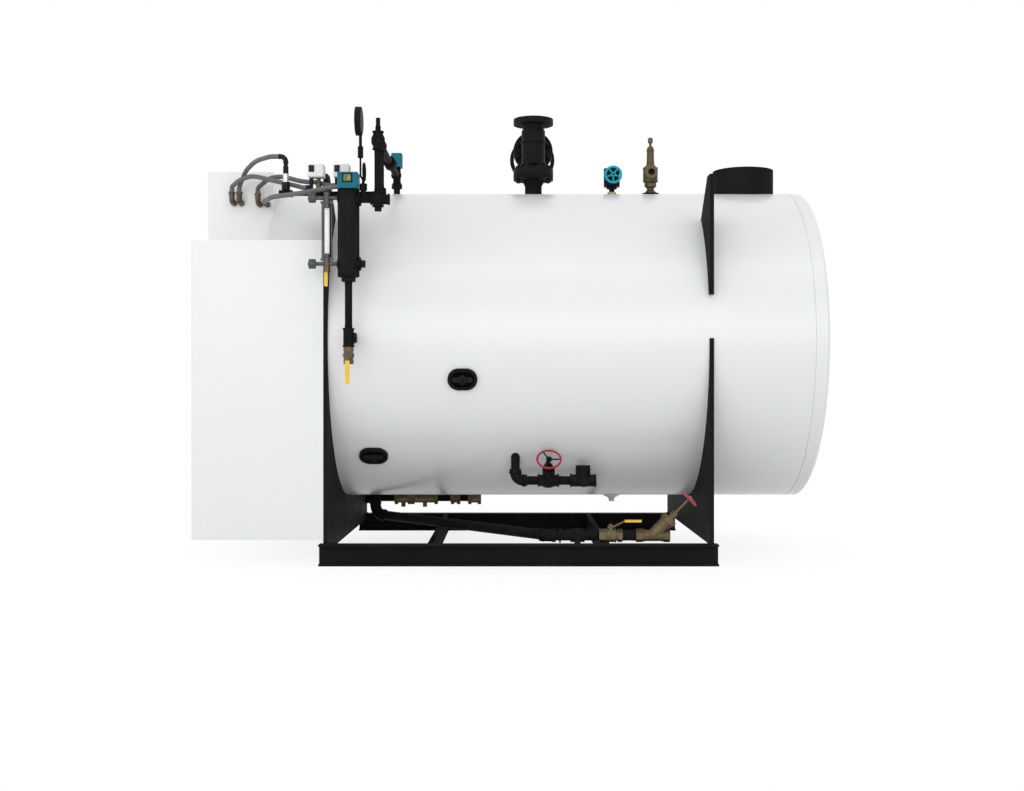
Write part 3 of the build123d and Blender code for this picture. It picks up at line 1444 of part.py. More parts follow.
with BuildPart() as gas_pipe:
    rod(gas_pipe_start, gas_valve_start, gas_pipe_radius)
    rod(gas_pipe_start, along(gas_pipe_start, RIGHT, plate_thickness), 1.5 * gas_pipe_radius)
finish(gas_pipe, "gas_pipe")

with BuildPart() as gas_valves:
    rod(gas_valve_start, gas_valve_end, gas_pipe_radius)
    for start, stop in gas_body_shares:
        body_start = along(gas_valve_start, RIGHT, start * gas_length)
        body_stop = along(gas_valve_start, RIGHT, stop * gas_length)
        nut_end = along(body_start, RIGHT, gas_nut_length)
        nut_start = along(body_stop, LEFT, gas_nut_length)
        hex_bar(body_start, nut_end, 2 * gas_body_radius)
        hex_bar(nut_start, body_stop, 2 * gas_body_radius)
        rod(nut_end, nut_start, 0.9 * gas_body_radius)
    for share in gas_stub_shares:
        stub = along(gas_valve_start, RIGHT, share * gas_length)
        rod(stub, along(stub, DOWN, gas_stub_drop), 0.35 * gas_body_radius)
    inlet = along(gas_valve_end, LEFT, gas_inlet_depth)
    rod(inlet, gas_valve_end, gas_pipe_radius, Mode.SUBTRACT)
finish(gas_valves, "gas_valves")
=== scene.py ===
import math

import bmesh
import bpy
from mathutils import Matrix, Vector


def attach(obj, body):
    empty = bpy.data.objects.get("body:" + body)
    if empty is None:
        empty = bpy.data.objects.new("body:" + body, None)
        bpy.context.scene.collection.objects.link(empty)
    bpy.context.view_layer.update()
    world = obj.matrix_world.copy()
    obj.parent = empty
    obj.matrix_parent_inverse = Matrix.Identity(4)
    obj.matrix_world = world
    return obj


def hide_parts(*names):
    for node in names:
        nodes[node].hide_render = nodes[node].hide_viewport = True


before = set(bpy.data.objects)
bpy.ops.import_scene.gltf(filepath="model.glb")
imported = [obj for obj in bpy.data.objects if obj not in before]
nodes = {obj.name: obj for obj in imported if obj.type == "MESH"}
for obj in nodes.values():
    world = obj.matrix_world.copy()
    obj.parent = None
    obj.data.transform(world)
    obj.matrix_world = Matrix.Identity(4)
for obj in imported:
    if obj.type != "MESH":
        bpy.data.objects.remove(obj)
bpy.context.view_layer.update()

# Directions: the trim is on the near side, and the burner end is at the left
UP = Vector((0, 0, 1))
DOWN = Vector((0, 0, -1))
LEFT = Vector((-1, 0, 0))
RIGHT = Vector((1, 0, 0))
NEAR = Vector((0, -1, 0))
FAR = Vector((0, 1, 0))

# Places and sizes of the boiler, in metres, as the CAD has them
SHELL_RADIUS = 0.7875
SHELL_AXIS_Z = 1.06
SHELL_AXIS = (0, 0, SHELL_AXIS_Z)
SHELL_TOP = SHELL_AXIS_Z + SHELL_RADIUS
RAIL_Y = 0.771
RAIL_TOP = 0.1
STEAM_X = 0.0816
STEAM_JOINT_Z = 1.958
STEAM_FLANGE = 0.0286
STEAM_VALVE = Vector((STEAM_X, 0, 2.104))
STEAM_HUB = Vector((STEAM_X, 0.362, 2.104))
VENT_CENTRE = Vector((0.496, 0, SHELL_TOP + 0.0955))
VENT_HUB = VENT_CENTRE + NEAR * 0.104
SAFETY_X = 0.7
FEED_Y = -0.55
FEED_Z = 0.382
FEED_VALVE = Vector((0.145, FEED_Y, FEED_Z))
FEED_CHECK = Vector((0.313, FEED_Y, FEED_Z))
FEED_STEM = Vector((0, -1, 1)).normalized()
FEED_HUB = FEED_VALVE + FEED_STEM * 0.153
BLOW_Z = 0.1406
BLOW_BALL_VALVE = Vector((0.42925, -RAIL_Y, BLOW_Z))
BLOW_Y_VALVE = Vector((0.626, -RAIL_Y, BLOW_Z))
BLOW_STEM = Vector((1, 0, 1)).normalized()
BLOW_HUB = BLOW_Y_VALVE + BLOW_STEM * 0.243
TRIM_Y = -0.93
COLUMN_X = -0.773
LOW_BOSS_Z = 1.391
HEADER_Z = 1.684
HEAD_FACE_Y = TRIM_Y - 0.048
HEAD_WINDOW = Vector((COLUMN_X, HEAD_FACE_Y, 1.77426))
GLASS_X = -0.871
RISER_X = -0.639
RISER_TOP = 1.951
MANIFOLD_Y = -0.83
MANIFOLD_Z = 1.7258
CONTROL_STARTS = (-0.97, -0.8525)
CONTROL_MIDDLE_Y = MANIFOLD_Y - 0.007
CONTROL_FACE_Y = CONTROL_MIDDLE_Y - 0.035
CONTROL_BOTTOM = 1.797
TRANSMITTER_X = -1.076
DIAL_CENTRE = Vector((-0.726, TRIM_Y, 2.039))
GAS_START_X = -0.72
GAS_LENGTH = 0.507

# Kinds of socket, and the values that a vector and a colour start from
FLOAT = "NodeSocketFloat"
COLOUR = "NodeSocketColor"
VECTOR = "NodeSocketVector"
INTEGER = "NodeSocketInt"
SHAPE = "NodeSocketGeometry"
FINISH = "NodeSocketMaterial"
ORIGIN = (0, 0, 0)
WHITE = (1, 1, 1, 1)


# Node helpers
def add(tree, kind, inputs=None, **settings):
    """A node with its settings, whose inputs are values or sockets."""
    made = tree.nodes.new(kind)
    for name, value in settings.items():
        setattr(made, name, value)
    for key, value in (inputs or {}).items():
        if isinstance(value, bpy.types.NodeSocket):
            tree.links.new(value, made.inputs[key])
        else:
            made.inputs[key].default_value = value
    return made


def join(tree, source, target):
    tree.links.new(source, target)


def use(tree, kind, inputs):
    """The outputs of a shader group placed in a material."""
    return add(tree, "ShaderNodeGroup", inputs, node_tree=kind).outputs


def calc(tree, operation, first, second=0.0, clamp=False):
    """The result of a sum on one or two numbers."""
    inputs = {0: first, 1: second}
    return add(tree, "ShaderNodeMath", inputs, operation=operation, use_clamp=clamp).outputs[0]


def share_of(tree, value, share):
    return calc(tree, "MULTIPLY", value, share)


def vector_calc(tree, operation, first, second=ORIGIN, result="Vector"):
    """The result of a sum on one or two vectors."""
    inputs = {0: first, 1: second}
    return add(tree, "ShaderNodeVectorMath", inputs, operation=operation).outputs[result]


def vector_of(tree, **parts):
    """A vector from its X, Y and Z."""
    return add(tree, "ShaderNodeCombineXYZ", parts).outputs[0]


def blend_of(tree, share, first, second):
    """A colour between two colours."""
    return add(tree, "ShaderNodeMix", {0: share, 6: first, 7: second}, data_type="RGBA").outputs[2]


def between(tree, share, first, second):
    """A number between two numbers."""
    return add(tree, "ShaderNodeMix", {0: share, 2: first, 3: second}).outputs[0]


def noise(tree, place, scale, detail=3.0, roughness=0.55):
    """Noise over a surface, from 0 to 1."""
    inputs = {"Vector": place, "Scale": scale, "Detail": detail, "Roughness": roughness}
    return add(tree, "ShaderNodeTexNoise", inputs).outputs[0]


def spread(tree, value, low, high, to_low=0.0, to_high=1.0):
    """A value stretched from one range to another, and held inside it."""
    inputs = {0: value, 1: low, 2: high, 3: to_low, 4: to_high}
    return add(tree, "ShaderNodeMapRange", inputs).outputs[0]


def socket_kind(value):
    """The kind of socket that starts from a value; one without a value takes a finish."""
    if value is None:
        return FINISH
    if isinstance(value, int):
        return INTEGER
    if isinstance(value, float):
        return FLOAT
    return COLOUR if len(value) == len(WHITE) else VECTOR


def group(name, takes, gives, kind="ShaderNodeTree"):
    """A node group with named sockets, and its inner input and output sockets."""
    tree = bpy.data.node_groups.new(name, kind)
    for label, value in takes.items():
        socket = tree.interface.new_socket(label, in_out="INPUT", socket_type=socket_kind(value))
        if value is not None:
            socket.default_value = value
    for label, socket_type in gives.items():
        tree.interface.new_socket(label, in_out="OUTPUT", socket_type=socket_type)
    return tree, add(tree, "NodeGroupInput").outputs, add(tree, "NodeGroupOutput").inputs


# Shared surface effects
def make_film():
    """A film of paint or a cast skin: patches of a second shade, uneven gloss and a fine relief."""
    colours = {"Place": ORIGIN, "Colour": WHITE, "Shade": WHITE}
    sizes = {"Patches": 4.0, "Gloss Low": 0.3, "Gloss High": 0.4, "Grain": 400.0}
    gives = {"Colour": COLOUR, "Roughness": FLOAT, "Height": FLOAT}
    tree, given, put = group("film", {**colours, **sizes}, gives)
    patches = spread(tree, noise(tree, given["Place"], given["Patches"], 5.0), 0.35, 0.68)
    join(tree, blend_of(tree, patches, given["Colour"], given["Shade"]), put["Colour"])
    smear_scale = share_of(tree, given["Patches"], 3.7)
    smear = spread(tree, noise(tree, given["Place"], smear_scale, 4.0, 0.65), 0.3, 0.72)
    join(tree, between(tree, smear, given["Gloss Low"], given["Gloss High"]), put["Roughness"])
    join(tree, noise(tree, given["Place"], given["Grain"], 2.0), put["Height"])
    return tree


def make_dust():
    """Dust that settles on faces that look up, thicker in some places."""
    takes = {"Place": ORIGIN, "Colour": WHITE, "Dust": WHITE, "Amount": 0.2}
    tree, given, put = group("settled_dust", takes, {"Colour": COLOUR, "Cover": FLOAT})
    normal = add(tree, "ShaderNodeNewGeometry").outputs["Normal"]
    height = add(tree, "ShaderNodeSeparateXYZ", {0: normal}).outputs["Z"]
    level = spread(tree, height, 0.45, 0.98)
    cloud = spread(tree, noise(tree, given["Place"], 9.0, 6.0, 0.7), 0.32, 0.75)
    settled = calc(tree, "MULTIPLY", level, cloud)
    cover = calc(tree, "MULTIPLY", settled, given["Amount"], clamp=True)
    join(tree, blend_of(tree, cover, given["Colour"], given["Dust"]), put["Colour"])
    join(tree, cover, put["Cover"])
    return tree


def make_rub():
    """Wear where an edge turns, broken up by noise."""
    takes = {"Place": ORIGIN, "Colour": WHITE, "Bare": WHITE, "Reach": 0.002, "Amount": 0.5}
    tree, given, put = group("edge_rub", takes, {"Colour": COLOUR})
    normal = add(tree, "ShaderNodeNewGeometry").outputs["Normal"]
    rounded = add(tree, "ShaderNodeBevel", {"Radius": given["Reach"]}, samples=4).outputs[0]
    same = vector_calc(tree, "DOT_PRODUCT", normal, rounded, "Value")
    edge = spread(tree, calc(tree, "SUBTRACT", 1.0, same), 0.03, 0.22)
    broken = spread(tree, noise(tree, given["Place"], 60.0, 5.0, 0.7), 0.38, 0.66)
    worn = calc(tree, "MULTIPLY", edge, broken)
    rub = calc(tree, "MULTIPLY", worn, given["Amount"], clamp=True)
    join(tree, blend_of(tree, rub, given["Colour"], given["Bare"]), put["Colour"])
    return tree


def make_axis_mask():
    """1 farther than a radius from an axis, and 0 nearer."""
    takes = {"Place": ORIGIN, "Centre": ORIGIN, "Axis": (0, 0, 1), "Radius": 0.1}
    tree, given, put = group("off_axis", takes, {"Mask": FLOAT})
    arm = vector_calc(tree, "SUBTRACT", given["Place"], given["Centre"])
    crossed = vector_calc(tree, "CROSS_PRODUCT", arm, given["Axis"])
    length = vector_calc(tree, "LENGTH", crossed, result="Value")
    join(tree, calc(tree, "GREATER_THAN", length, given["Radius"]), put["Mask"])
    return tree


def make_box_mask():
    """1 inside a box, and 0 outside."""
    takes = {"Place": ORIGIN, "Centre": ORIGIN, "Half": (1, 1, 1)}
    tree, given, put = group("in_box", takes, {"Mask": FLOAT})
    arm = vector_calc(tree, "SUBTRACT", given["Place"], given["Centre"])
    away = vector_calc(tree, "ABSOLUTE", arm)
    room = vector_calc(tree, "SUBTRACT", given["Half"], away)
    parts = add(tree, "ShaderNodeSeparateXYZ", {0: room}).outputs
    least = calc(tree, "MINIMUM", calc(tree, "MINIMUM", parts["X"], parts["Y"]), parts["Z"])
    join(tree, calc(tree, "GREATER_THAN", least, 0.0), put["Mask"])
    return tree


film = make_film()
settled_dust = make_dust()
edge_rub = make_rub()
off_axis = make_axis_mask()
in_box = make_box_mask()


# Finishes
def coat_of(
    colour, shade, gloss, metal=0.0, shine=0.5, patches=4.0, grain=420.0, depth=0.0002,
    dust=0.0, rub=0.0, bare=None,
):
    """A finish: a colour with patches of a second shade, a range of roughness, metal or not, how much it
    shines, the size and depth of its grain, its dust, and the wear on its edges with what shows there."""
    return {
        "colour": (*colour, 1),
        "shade": (*shade, 1),
        "gloss": gloss,
        "metal": metal,
        "shine": shine,
        "patches": patches,
        "grain": grain,
        "depth": depth,
        "dust": dust,
        "rub": rub,
        "bare": (*(bare or colour), 1),
    }


GREY_DUST = (0.2, 0.195, 0.185, 1)
STEEL = (0.33, 0.33, 0.34)
WORN_BLACK = (0.032, 0.032, 0.034)
WEAR_REACH = 0.0016
DUST_ROUGHNESS = 0.5
BUMP_STRENGTH = 0.6
COAT_ROUGHNESS = 0.2

white_enamel = coat_of(
    (0.8, 0.805, 0.81), (0.788, 0.793, 0.799), (0.28, 0.32), patches=1.6, grain=260, depth=0.00005,
)
black_enamel = coat_of(
    (0.0118, 0.0118, 0.0123), (0.0155, 0.0155, 0.016), (0.52, 0.64), shine=0.015,
    patches=6, grain=520, dust=0.03, rub=0.3, bare=WORN_BLACK,
)
# Painted shade: a darker, duller copy of the black paint, for black parts that sit in shadow
painted_shade_black = coat_of(
    (0.0045, 0.0045, 0.0047), (0.006, 0.006, 0.0062), (0.6, 0.7), shine=0.005, patches=9, grain=520,
)
black_pipe = coat_of(
    (0.0088, 0.009, 0.0094), (0.0132, 0.0132, 0.0137), (0.44, 0.58), shine=0.02,
    patches=11, grain=700, depth=0.0003, dust=0.025, rub=0.4, bare=WORN_BLACK,
)
black_casting = coat_of(
    (0.0075, 0.0077, 0.008), (0.012, 0.012, 0.0125), (0.42, 0.56), shine=0.06,
    patches=16, grain=330, depth=0.0009, dust=0.035, rub=0.45, bare=WORN_BLACK,
)
yoke_black = coat_of(
    (0.021, 0.021, 0.0215), (0.027, 0.027, 0.0275), (0.42, 0.56), shine=0.06,
    patches=16, grain=330, depth=0.0009,
)
cast_bronze = coat_of(
    (0.155, 0.12, 0.068), (0.104, 0.081, 0.046), (0.4, 0.54), metal=0.75,
    patches=22, grain=520, depth=0.0004, dust=0.04, rub=0.6, bare=(0.27, 0.21, 0.12),
)
dark_bronze = coat_of(
    (0.135, 0.105, 0.064), (0.09, 0.071, 0.044), (0.42, 0.56), metal=0.7,
    patches=24, grain=520, depth=0.0004, dust=0.05, rub=0.6, bare=(0.3, 0.235, 0.15),
)
dull_brass = coat_of(
    (0.3, 0.235, 0.135), (0.24, 0.19, 0.11), (0.34, 0.46), metal=0.8, patches=30, grain=600,
)
cyan_enamel = coat_of(
    (0.01, 0.41, 0.53), (0.008, 0.36, 0.47), (0.4, 0.5), shine=0.2,
    patches=40, grain=800, depth=0.0001, dust=0.03, rub=0.3, bare=(0.1, 0.45, 0.6),
)
red_enamel = coat_of(
    (0.41, 0.036, 0.066), (0.34, 0.03, 0.055), (0.26, 0.38),
    patches=40, grain=800, depth=0.0001, dust=0.03, rub=0.4, bare=(0.14, 0.06, 0.06),
)
yellow_vinyl = coat_of(
    (0.82, 0.52, 0.022), (0.75, 0.46, 0.018), (0.34, 0.46), patches=30, grain=900,
)
teal_enamel = coat_of(
    (0.012, 0.162, 0.213), (0.01, 0.14, 0.188), (0.34, 0.46), shine=0.1,
    patches=30, grain=900, depth=0.0001, dust=0.03,
)
grey_metal = coat_of(
    (0.08, 0.081, 0.084), (0.06, 0.061, 0.063), (0.36, 0.5), metal=0.35,
    patches=30, grain=700, depth=0.0003, dust=0.04, rub=0.4, bare=STEEL,
)
bright_steel = coat_of(
    (0.6, 0.6, 0.61), (0.5, 0.5, 0.51), (0.2, 0.32), metal=1.0, patches=30, grain=900,
)
zinc_steel = coat_of(
    (0.26, 0.26, 0.27), (0.2, 0.2, 0.21), (0.32, 0.46), metal=0.9, patches=60, grain=900,
)
white_case = coat_of(
    (0.78, 0.785, 0.785), (0.74, 0.745, 0.745), (0.34, 0.44), patches=20, grain=1200, depth=0.0001,
)
white_strip = coat_of(
    (0.9, 0.9, 0.895), (0.87, 0.87, 0.86), (0.4, 0.5), patches=30, grain=1500, depth=0.00005,
)
black_plastic = coat_of(
    (0.012, 0.012, 0.0125), (0.017, 0.017, 0.0175), (0.36, 0.48), shine=0.08,
    patches=30, grain=1200, depth=0.0001,
)
grey_jacket = coat_of(
    (0.14, 0.142, 0.145), (0.118, 0.12, 0.123), (0.42, 0.56), shine=0.3,
    patches=12, grain=500, dust=0.03,
)
dial_card = coat_of(
    (0.76, 0.76, 0.74), (0.71, 0.71, 0.68), (0.45, 0.55), patches=30, grain=1500, depth=0.00005,
)
olive_lcd = coat_of(
    (0.17, 0.235, 0.034), (0.145, 0.205, 0.028), (0.2, 0.3), patches=45, grain=1500, depth=0.00005,
)
clear_glass = coat_of(
    (0.96, 0.975, 0.97), (0.93, 0.955, 0.95), (0.01, 0.05), patches=25, grain=300, depth=0.00002,
)


def film_sockets(tree, place, coat):
    """The colour, roughness and relief of one finish, with its wear and dust."""
    sizes = {"Place": place, "Patches": coat["patches"], "Grain": coat["grain"]}
    colours = {"Colour": coat["colour"], "Shade": coat["shade"]}
    gloss = {"Gloss Low": coat["gloss"][0], "Gloss High": coat["gloss"][1]}
    made = use(tree, film, {**sizes, **colours, **gloss})
    colour = made["Colour"]
    roughness = made["Roughness"]
    if coat["rub"]:
        wear = {"Bare": coat["bare"], "Reach": WEAR_REACH, "Amount": coat["rub"]}
        colour = use(tree, edge_rub, {"Place": place, "Colour": colour, **wear})["Colour"]
    if coat["dust"]:
        dust = {"Dust": GREY_DUST, "Amount": coat["dust"]}
        dusted = use(tree, settled_dust, {"Place": place, "Colour": colour, **dust})
        colour = dusted["Colour"]
        roughness = calc(tree, "ADD", roughness, share_of(tree, dusted["Cover"], DUST_ROUGHNESS))
    return colour, roughness, made["Height"]


def material(name, coat, over=None, where=None, coat_weight=0.0, alpha=1.0):
    """A material of one finish, or of two parted by a mask."""
    made = bpy.data.materials.new(name)
    made.use_nodes = True
    tree = made.node_tree
    tree.nodes.clear()
    place = add(tree, "ShaderNodeTexCoord").outputs["Object"]
    colour, roughness, height = film_sockets(tree, place, coat)
    metal = coat["metal"]
    if over:
        mask = where(tree, place)
        second_colour, second_roughness, _ = film_sockets(tree, place, over)
        colour = blend_of(tree, mask, colour, second_colour)
        roughness = between(tree, mask, roughness, second_roughness)
        if over["metal"] != metal:
            metal = between(tree, mask, metal, over["metal"])
    relief = {"Height": height, "Distance": coat["depth"], "Strength": BUMP_STRENGTH}
    surface = {
        "Base Color": colour,
        "Roughness": roughness,
        "Metallic": metal,
        "Normal": add(tree, "ShaderNodeBump", relief).outputs[0],
        "Specular IOR Level": min(coat["shine"], (over or coat)["shine"]),
        "Coat Weight": coat_weight,
        "Coat Roughness": COAT_ROUGHNESS,
        "Alpha": alpha,
    }
    shader = add(tree, "ShaderNodeBsdfPrincipled", surface).outputs[0]
    join(tree, shader, add(tree, "ShaderNodeOutputMaterial").inputs["Surface"])
    return made


def off(centre, axis, radius):
    """A mask of what is farther than a radius from an axis."""
    inputs = {"Centre": tuple(centre), "Axis": tuple(Vector(axis).normalized()), "Radius": radius}
    return lambda tree, place: use(tree, off_axis, {"Place": place, **inputs})["Mask"]


def inside(*boxes):
    """A mask of what is inside any of some boxes, each given by its low and high corners."""

    def mask(tree, place):
        total = None
        for low, high in boxes:
            centre = (Vector(low) + Vector(high)) / 2
            half = (Vector(high) - Vector(low)) / 2
            inputs = {"Place": place, "Centre": tuple(centre), "Half": tuple(half)}
            one = use(tree, in_box, inputs)["Mask"]
            total = one if total is None else calc(tree, "MAXIMUM", total, one)
        return total

    return mask


# Where a piece of two finishes has its second one: reaches from an axis, and boxes by their corners
VENT_HUB_REACH = 0.0065
FEED_SPOKE_REACH = 0.049
BLOW_HUB_REACH = 0.0085
YOKE_REACH = SHELL_RADIUS + 0.012
vent_bushing = ((0.4, -0.1, 1.8), (0.6, 0.1, SHELL_TOP + 0.018))
# The outlet bore of the safety valve is painted black: painted shade inside the hole
safety_bore_painted_shade = ((0.6824, -0.0515, 1.9495), (0.7176, -0.02, 1.9846))
blow_grip = ((0.494, -0.9, 0.19), (0.6, -0.6, 0.23))
blow_nipple = ((0.48, -0.9, 0.1), (0.5468, -0.7, 0.2))
drain_grip = ((-0.9, -1.1, 0.8), (-0.7, -0.9, 0.951))
gauge_cock = ((GLASS_X - 0.0155, -1.0, 1.36), (GLASS_X + 0.0155, -0.8, 1.405))
head_recess = ((COLUMN_X - 0.03, TRIM_Y - 0.06, 1.74), (COLUMN_X + 0.03, TRIM_Y - 0.0481, 1.81))
transmitter_band = ((-1.15, -0.9, 1.7777), (-1.0, -0.7, 1.8167))
control_windows = [
    (
        (x + 0.0065, CONTROL_FACE_Y - 0.01, CONTROL_BOTTOM + 0.022),
        (x + 0.032, CONTROL_FACE_Y - 0.0002, CONTROL_BOTTOM + 0.0535),
    )
    for x in CONTROL_STARTS
]
control_legs = [((x - 0.02, -0.9, 1.6), (x + 0.026, -0.7, 1.9)) for x in CONTROL_STARTS]
gas_nipples = [
    ((GAS_START_X + low * GAS_LENGTH, 0.6, 0.1), (GAS_START_X + high * GAS_LENGTH, 0.9, 0.3))
    for low, high in ((0.5, 0.65), (0.76, 0.85))
]

# Paints of one finish, and of two with where the second one is
plain_paints = {
    "black_enamel": black_enamel,
    "painted_shade_black": painted_shade_black,
    "black_pipe": black_pipe,
    "black_casting": black_casting,
    "cast_bronze": cast_bronze,
    "dark_bronze": dark_bronze,
    "cyan_enamel": cyan_enamel,
    "yellow_vinyl": yellow_vinyl,
    "teal_enamel": teal_enamel,
    "grey_metal": grey_metal,
    "grey_jacket": grey_jacket,
    "bright_steel": bright_steel,
    "zinc_steel": zinc_steel,
    "white_strip": white_strip,
    "black_plastic": black_plastic,
    "dial_card": dial_card,
}
two_paints = {
    "vent_valve": (black_casting, dull_brass, inside(vent_bushing)),
    "vent_wheel": (black_casting, cyan_enamel, off(VENT_HUB, NEAR, VENT_HUB_REACH)),
    "feed_wheel": (black_casting, red_enamel, off(FEED_HUB, FEED_STEM, FEED_SPOKE_REACH)),
    "blow_wheel": (cast_bronze, red_enamel, off(BLOW_HUB, BLOW_STEM, BLOW_HUB_REACH)),
    "blow_lever": (cast_bronze, yellow_vinyl, inside(blow_grip)),
    "drain_lever": (dark_bronze, yellow_vinyl, inside(drain_grip)),
    "y_valve": (cast_bronze, black_pipe, inside(blow_nipple)),
    "gas_valves": (cast_bronze, black_pipe, inside(*gas_nipples)),
    # Inside the ring the handhole cover is in painted shade, and the yoke that stands out from it is a
    # lighter black
    "handhole_covers": (painted_shade_black, yoke_black, off(SHELL_AXIS, RIGHT, YOKE_REACH)),
    "gauge_valves": (grey_metal, cast_bronze, inside(gauge_cock)),
    # The safety valve's outlet bore is black plastic as painted shade in the hole
    "safety_valve": (dark_bronze, black_plastic, inside(safety_bore_painted_shade)),
    "column_head": (teal_enamel, black_plastic, inside(head_recess)),
    "pressure_controls": (white_case, black_plastic, inside(*control_windows)),
    "control_fittings": (dark_bronze, black_plastic, inside(*control_legs)),
    "transmitter": (black_plastic, bright_steel, inside(transmitter_band)),
}
paints = {
    "white_enamel": material("white_enamel", white_enamel, coat_weight=0.2),
    "olive_lcd": material("olive_lcd", olive_lcd, coat_weight=0.3),
    "clear_glass": material("clear_glass", clear_glass, alpha=0.14),
}
for name, coat in plain_paints.items():
    paints[name] = material(name, coat)
for name, (coat, over, where) in two_paints.items():
    paints[name] = material(name, coat, over, where)

# The paint on each node of the CAD
node_paints = {
    "white_enamel": (
        "shell_jacket front_drum lower_cabinet upper_cabinet rear_smokebox rear_cover drain_boss"
    ),
    "black_enamel": (
        "near_base_rail far_base_rail handhole_rings front_end_plate rear_saddle_plate rear_lifting_lugs "
        "rear_tube_sheet stack_outlet blowdown_support"
    ),
    "black_pipe": (
        "steam_nozzle safety_bushing feedwater_pipe blowdown_pipe column_pipe steam_header gauge_siphon "
        "control_manifold gas_pipe"
    ),
    "black_casting": (
        "steam_valve_body steam_valve_bonnet steam_valve_wheel feedwater_valve feedwater_check_valve "
        "water_column pressure_gauge"
    ),
    # The cross plates between the rails take the painted shade black, as they sit in shadow
    "painted_shade_black": "cross_plates",
    "handhole_covers": "handhole_covers",
    "cast_bronze": "blowdown_ball_valve column_drain_valve gauge_drain_valve",
    "y_valve": "blowdown_y_valve",
    "gas_valves": "gas_valves",
    "dark_bronze": "conduit_connectors",
    "safety_valve": "safety_valve",
    "vent_valve": "vent_valve",
    "vent_wheel": "vent_valve_wheel",
    "feed_wheel": "feedwater_wheel",
    "blow_wheel": "blowdown_wheel",
    "blow_lever": "blowdown_lever",
    "drain_lever": "column_drain_lever",
    "yellow_vinyl": "gauge_drain_lever",
    "column_head": "column_head",
    "teal_enamel": "probe_box",
    "grey_metal": "gauge_guard_rods gauge_glass",
    "gauge_valves": "gauge_valves",
    "pressure_controls": "pressure_controls",
    "control_fittings": "control_fittings",
    "transmitter": "pressure_transmitter",
    "grey_jacket": "conduits",
}
for paint, names in node_paints.items():
    for name in names.split():
        mesh = nodes[name].data
        mesh.materials.clear()
        mesh.materials.append(paints[paint])


# Small shapes, each made round its own origin
def plain_mesh(built):
    mesh = bpy.data.meshes.new("shape")
    built.to_mesh(mesh)
    built.free()
    return mesh


def turned(outline, sides=32, closed=False):
    """A mesh turned round Z from (radius, height) points, which end on the axis or close on themselves."""
    built = bmesh.new()
    rings = []
    for radius, height in outline:
        spots = [2 * math.pi * i / sides for i in range(sides if radius else 1)]
        rings.append([built.verts.new((radius * math.cos(a), radius * math.sin(a), height)) for a in spots])
    if closed:
        rings.append(rings[0])
    for low, high in zip(rings, rings[1:]):
        for i in range(sides):
            after = i + 1
            under = [low[i % len(low)], low[after % len(low)]]
            above = [high[after % len(high)], high[i % len(high)]]
            built.faces.new(list(dict.fromkeys(under + above)))
    return plain_mesh(built)


def stub(radius, shoulder, crown, top, foot=0.0, sides=32):
    """A short round bar, straight from its foot to its shoulder and sloped in to its crown."""
    return turned([(0, foot), (radius, foot), (radius, shoulder), (crown, top), (0, top)], sides)


def hex_nut(flats, height):
    """A six-sided nut with its corners chamfered at both ends."""
    corner = flats / math.sqrt(3)
    low_corner = [(corner * 0.9, 0), (corner, height * 0.12)]
    high_corner = [(corner, height * 0.86), (corner * 0.88, height)]
    return turned([(0, 0), *low_corner, *high_corner, (0, height)], sides=6)


def block(width, depth, height, edge):
    """A box with rounded edges."""
    built = bmesh.new()
    bmesh.ops.create_cube(built, size=1.0)
    bmesh.ops.scale(built, vec=(width, depth, height), verts=built.verts)
    bmesh.ops.bevel(built, geom=built.edges[:], offset=edge, segments=2, affect="EDGES", profile=0.5)
    return plain_mesh(built)


def pane(width, height, rim, depth):
    """A four-sided frame with a sloped inner lip, facing up."""
    corner = math.sqrt(2) / 2
    inner = corner * (1 - 2 * rim / max(width, height))
    lip = (corner + inner) / 2
    outline = [(corner, 0), (corner * 0.99, depth), (lip, depth), (inner, depth * 0.3), (inner, 0)]
    mesh = turned(outline, sides=4, closed=True)
    mesh.transform(Matrix.Diagonal((width, height, 1, 1)) @ Matrix.Rotation(math.pi / 4, 4, "Z"))
    return mesh


def prism(points, thickness):
    """A flat outline with a thickness."""
    built = bmesh.new()
    low = [built.verts.new((x, y, 0)) for x, y in points]
    high = [built.verts.new((x, y, thickness)) for x, y in points]
    built.faces.new(low[::-1])
    built.faces.new(high)
    for i in range(len(points)):
        after = (i + 1) % len(points)
        built.faces.new((low[i], low[after], high[after], high[i]))
    return plain_mesh(built)


def made_plain(holder):
    """The evaluated shape of an object as a plain mesh; the object itself is removed."""
    graph = bpy.context.evaluated_depsgraph_get()
    mesh = bpy.data.meshes.new_from_object(holder.evaluated_get(graph), depsgraph=graph)
    bpy.data.objects.remove(holder)
    return mesh


def figures(text, size):
    """Figures on a dial, centred, as a flat mesh."""
    curve = bpy.data.curves.new("figures", "FONT")
    curve.body = text
    curve.size = size
    curve.align_x = "CENTER"
    curve.align_y = "CENTER"
    curve.extrude = 0.0001
    holder = bpy.data.objects.new("figures", curve)
    bpy.context.scene.collection.objects.link(holder)
    return made_plain(holder)


# Repeated shapes, grown by geometry nodes
def gathered(tree, *shapes):
    made = add(tree, "GeometryNodeJoinGeometry")
    for shape in shapes:
        join(tree, shape, made.inputs[0])
    return made.outputs[0]


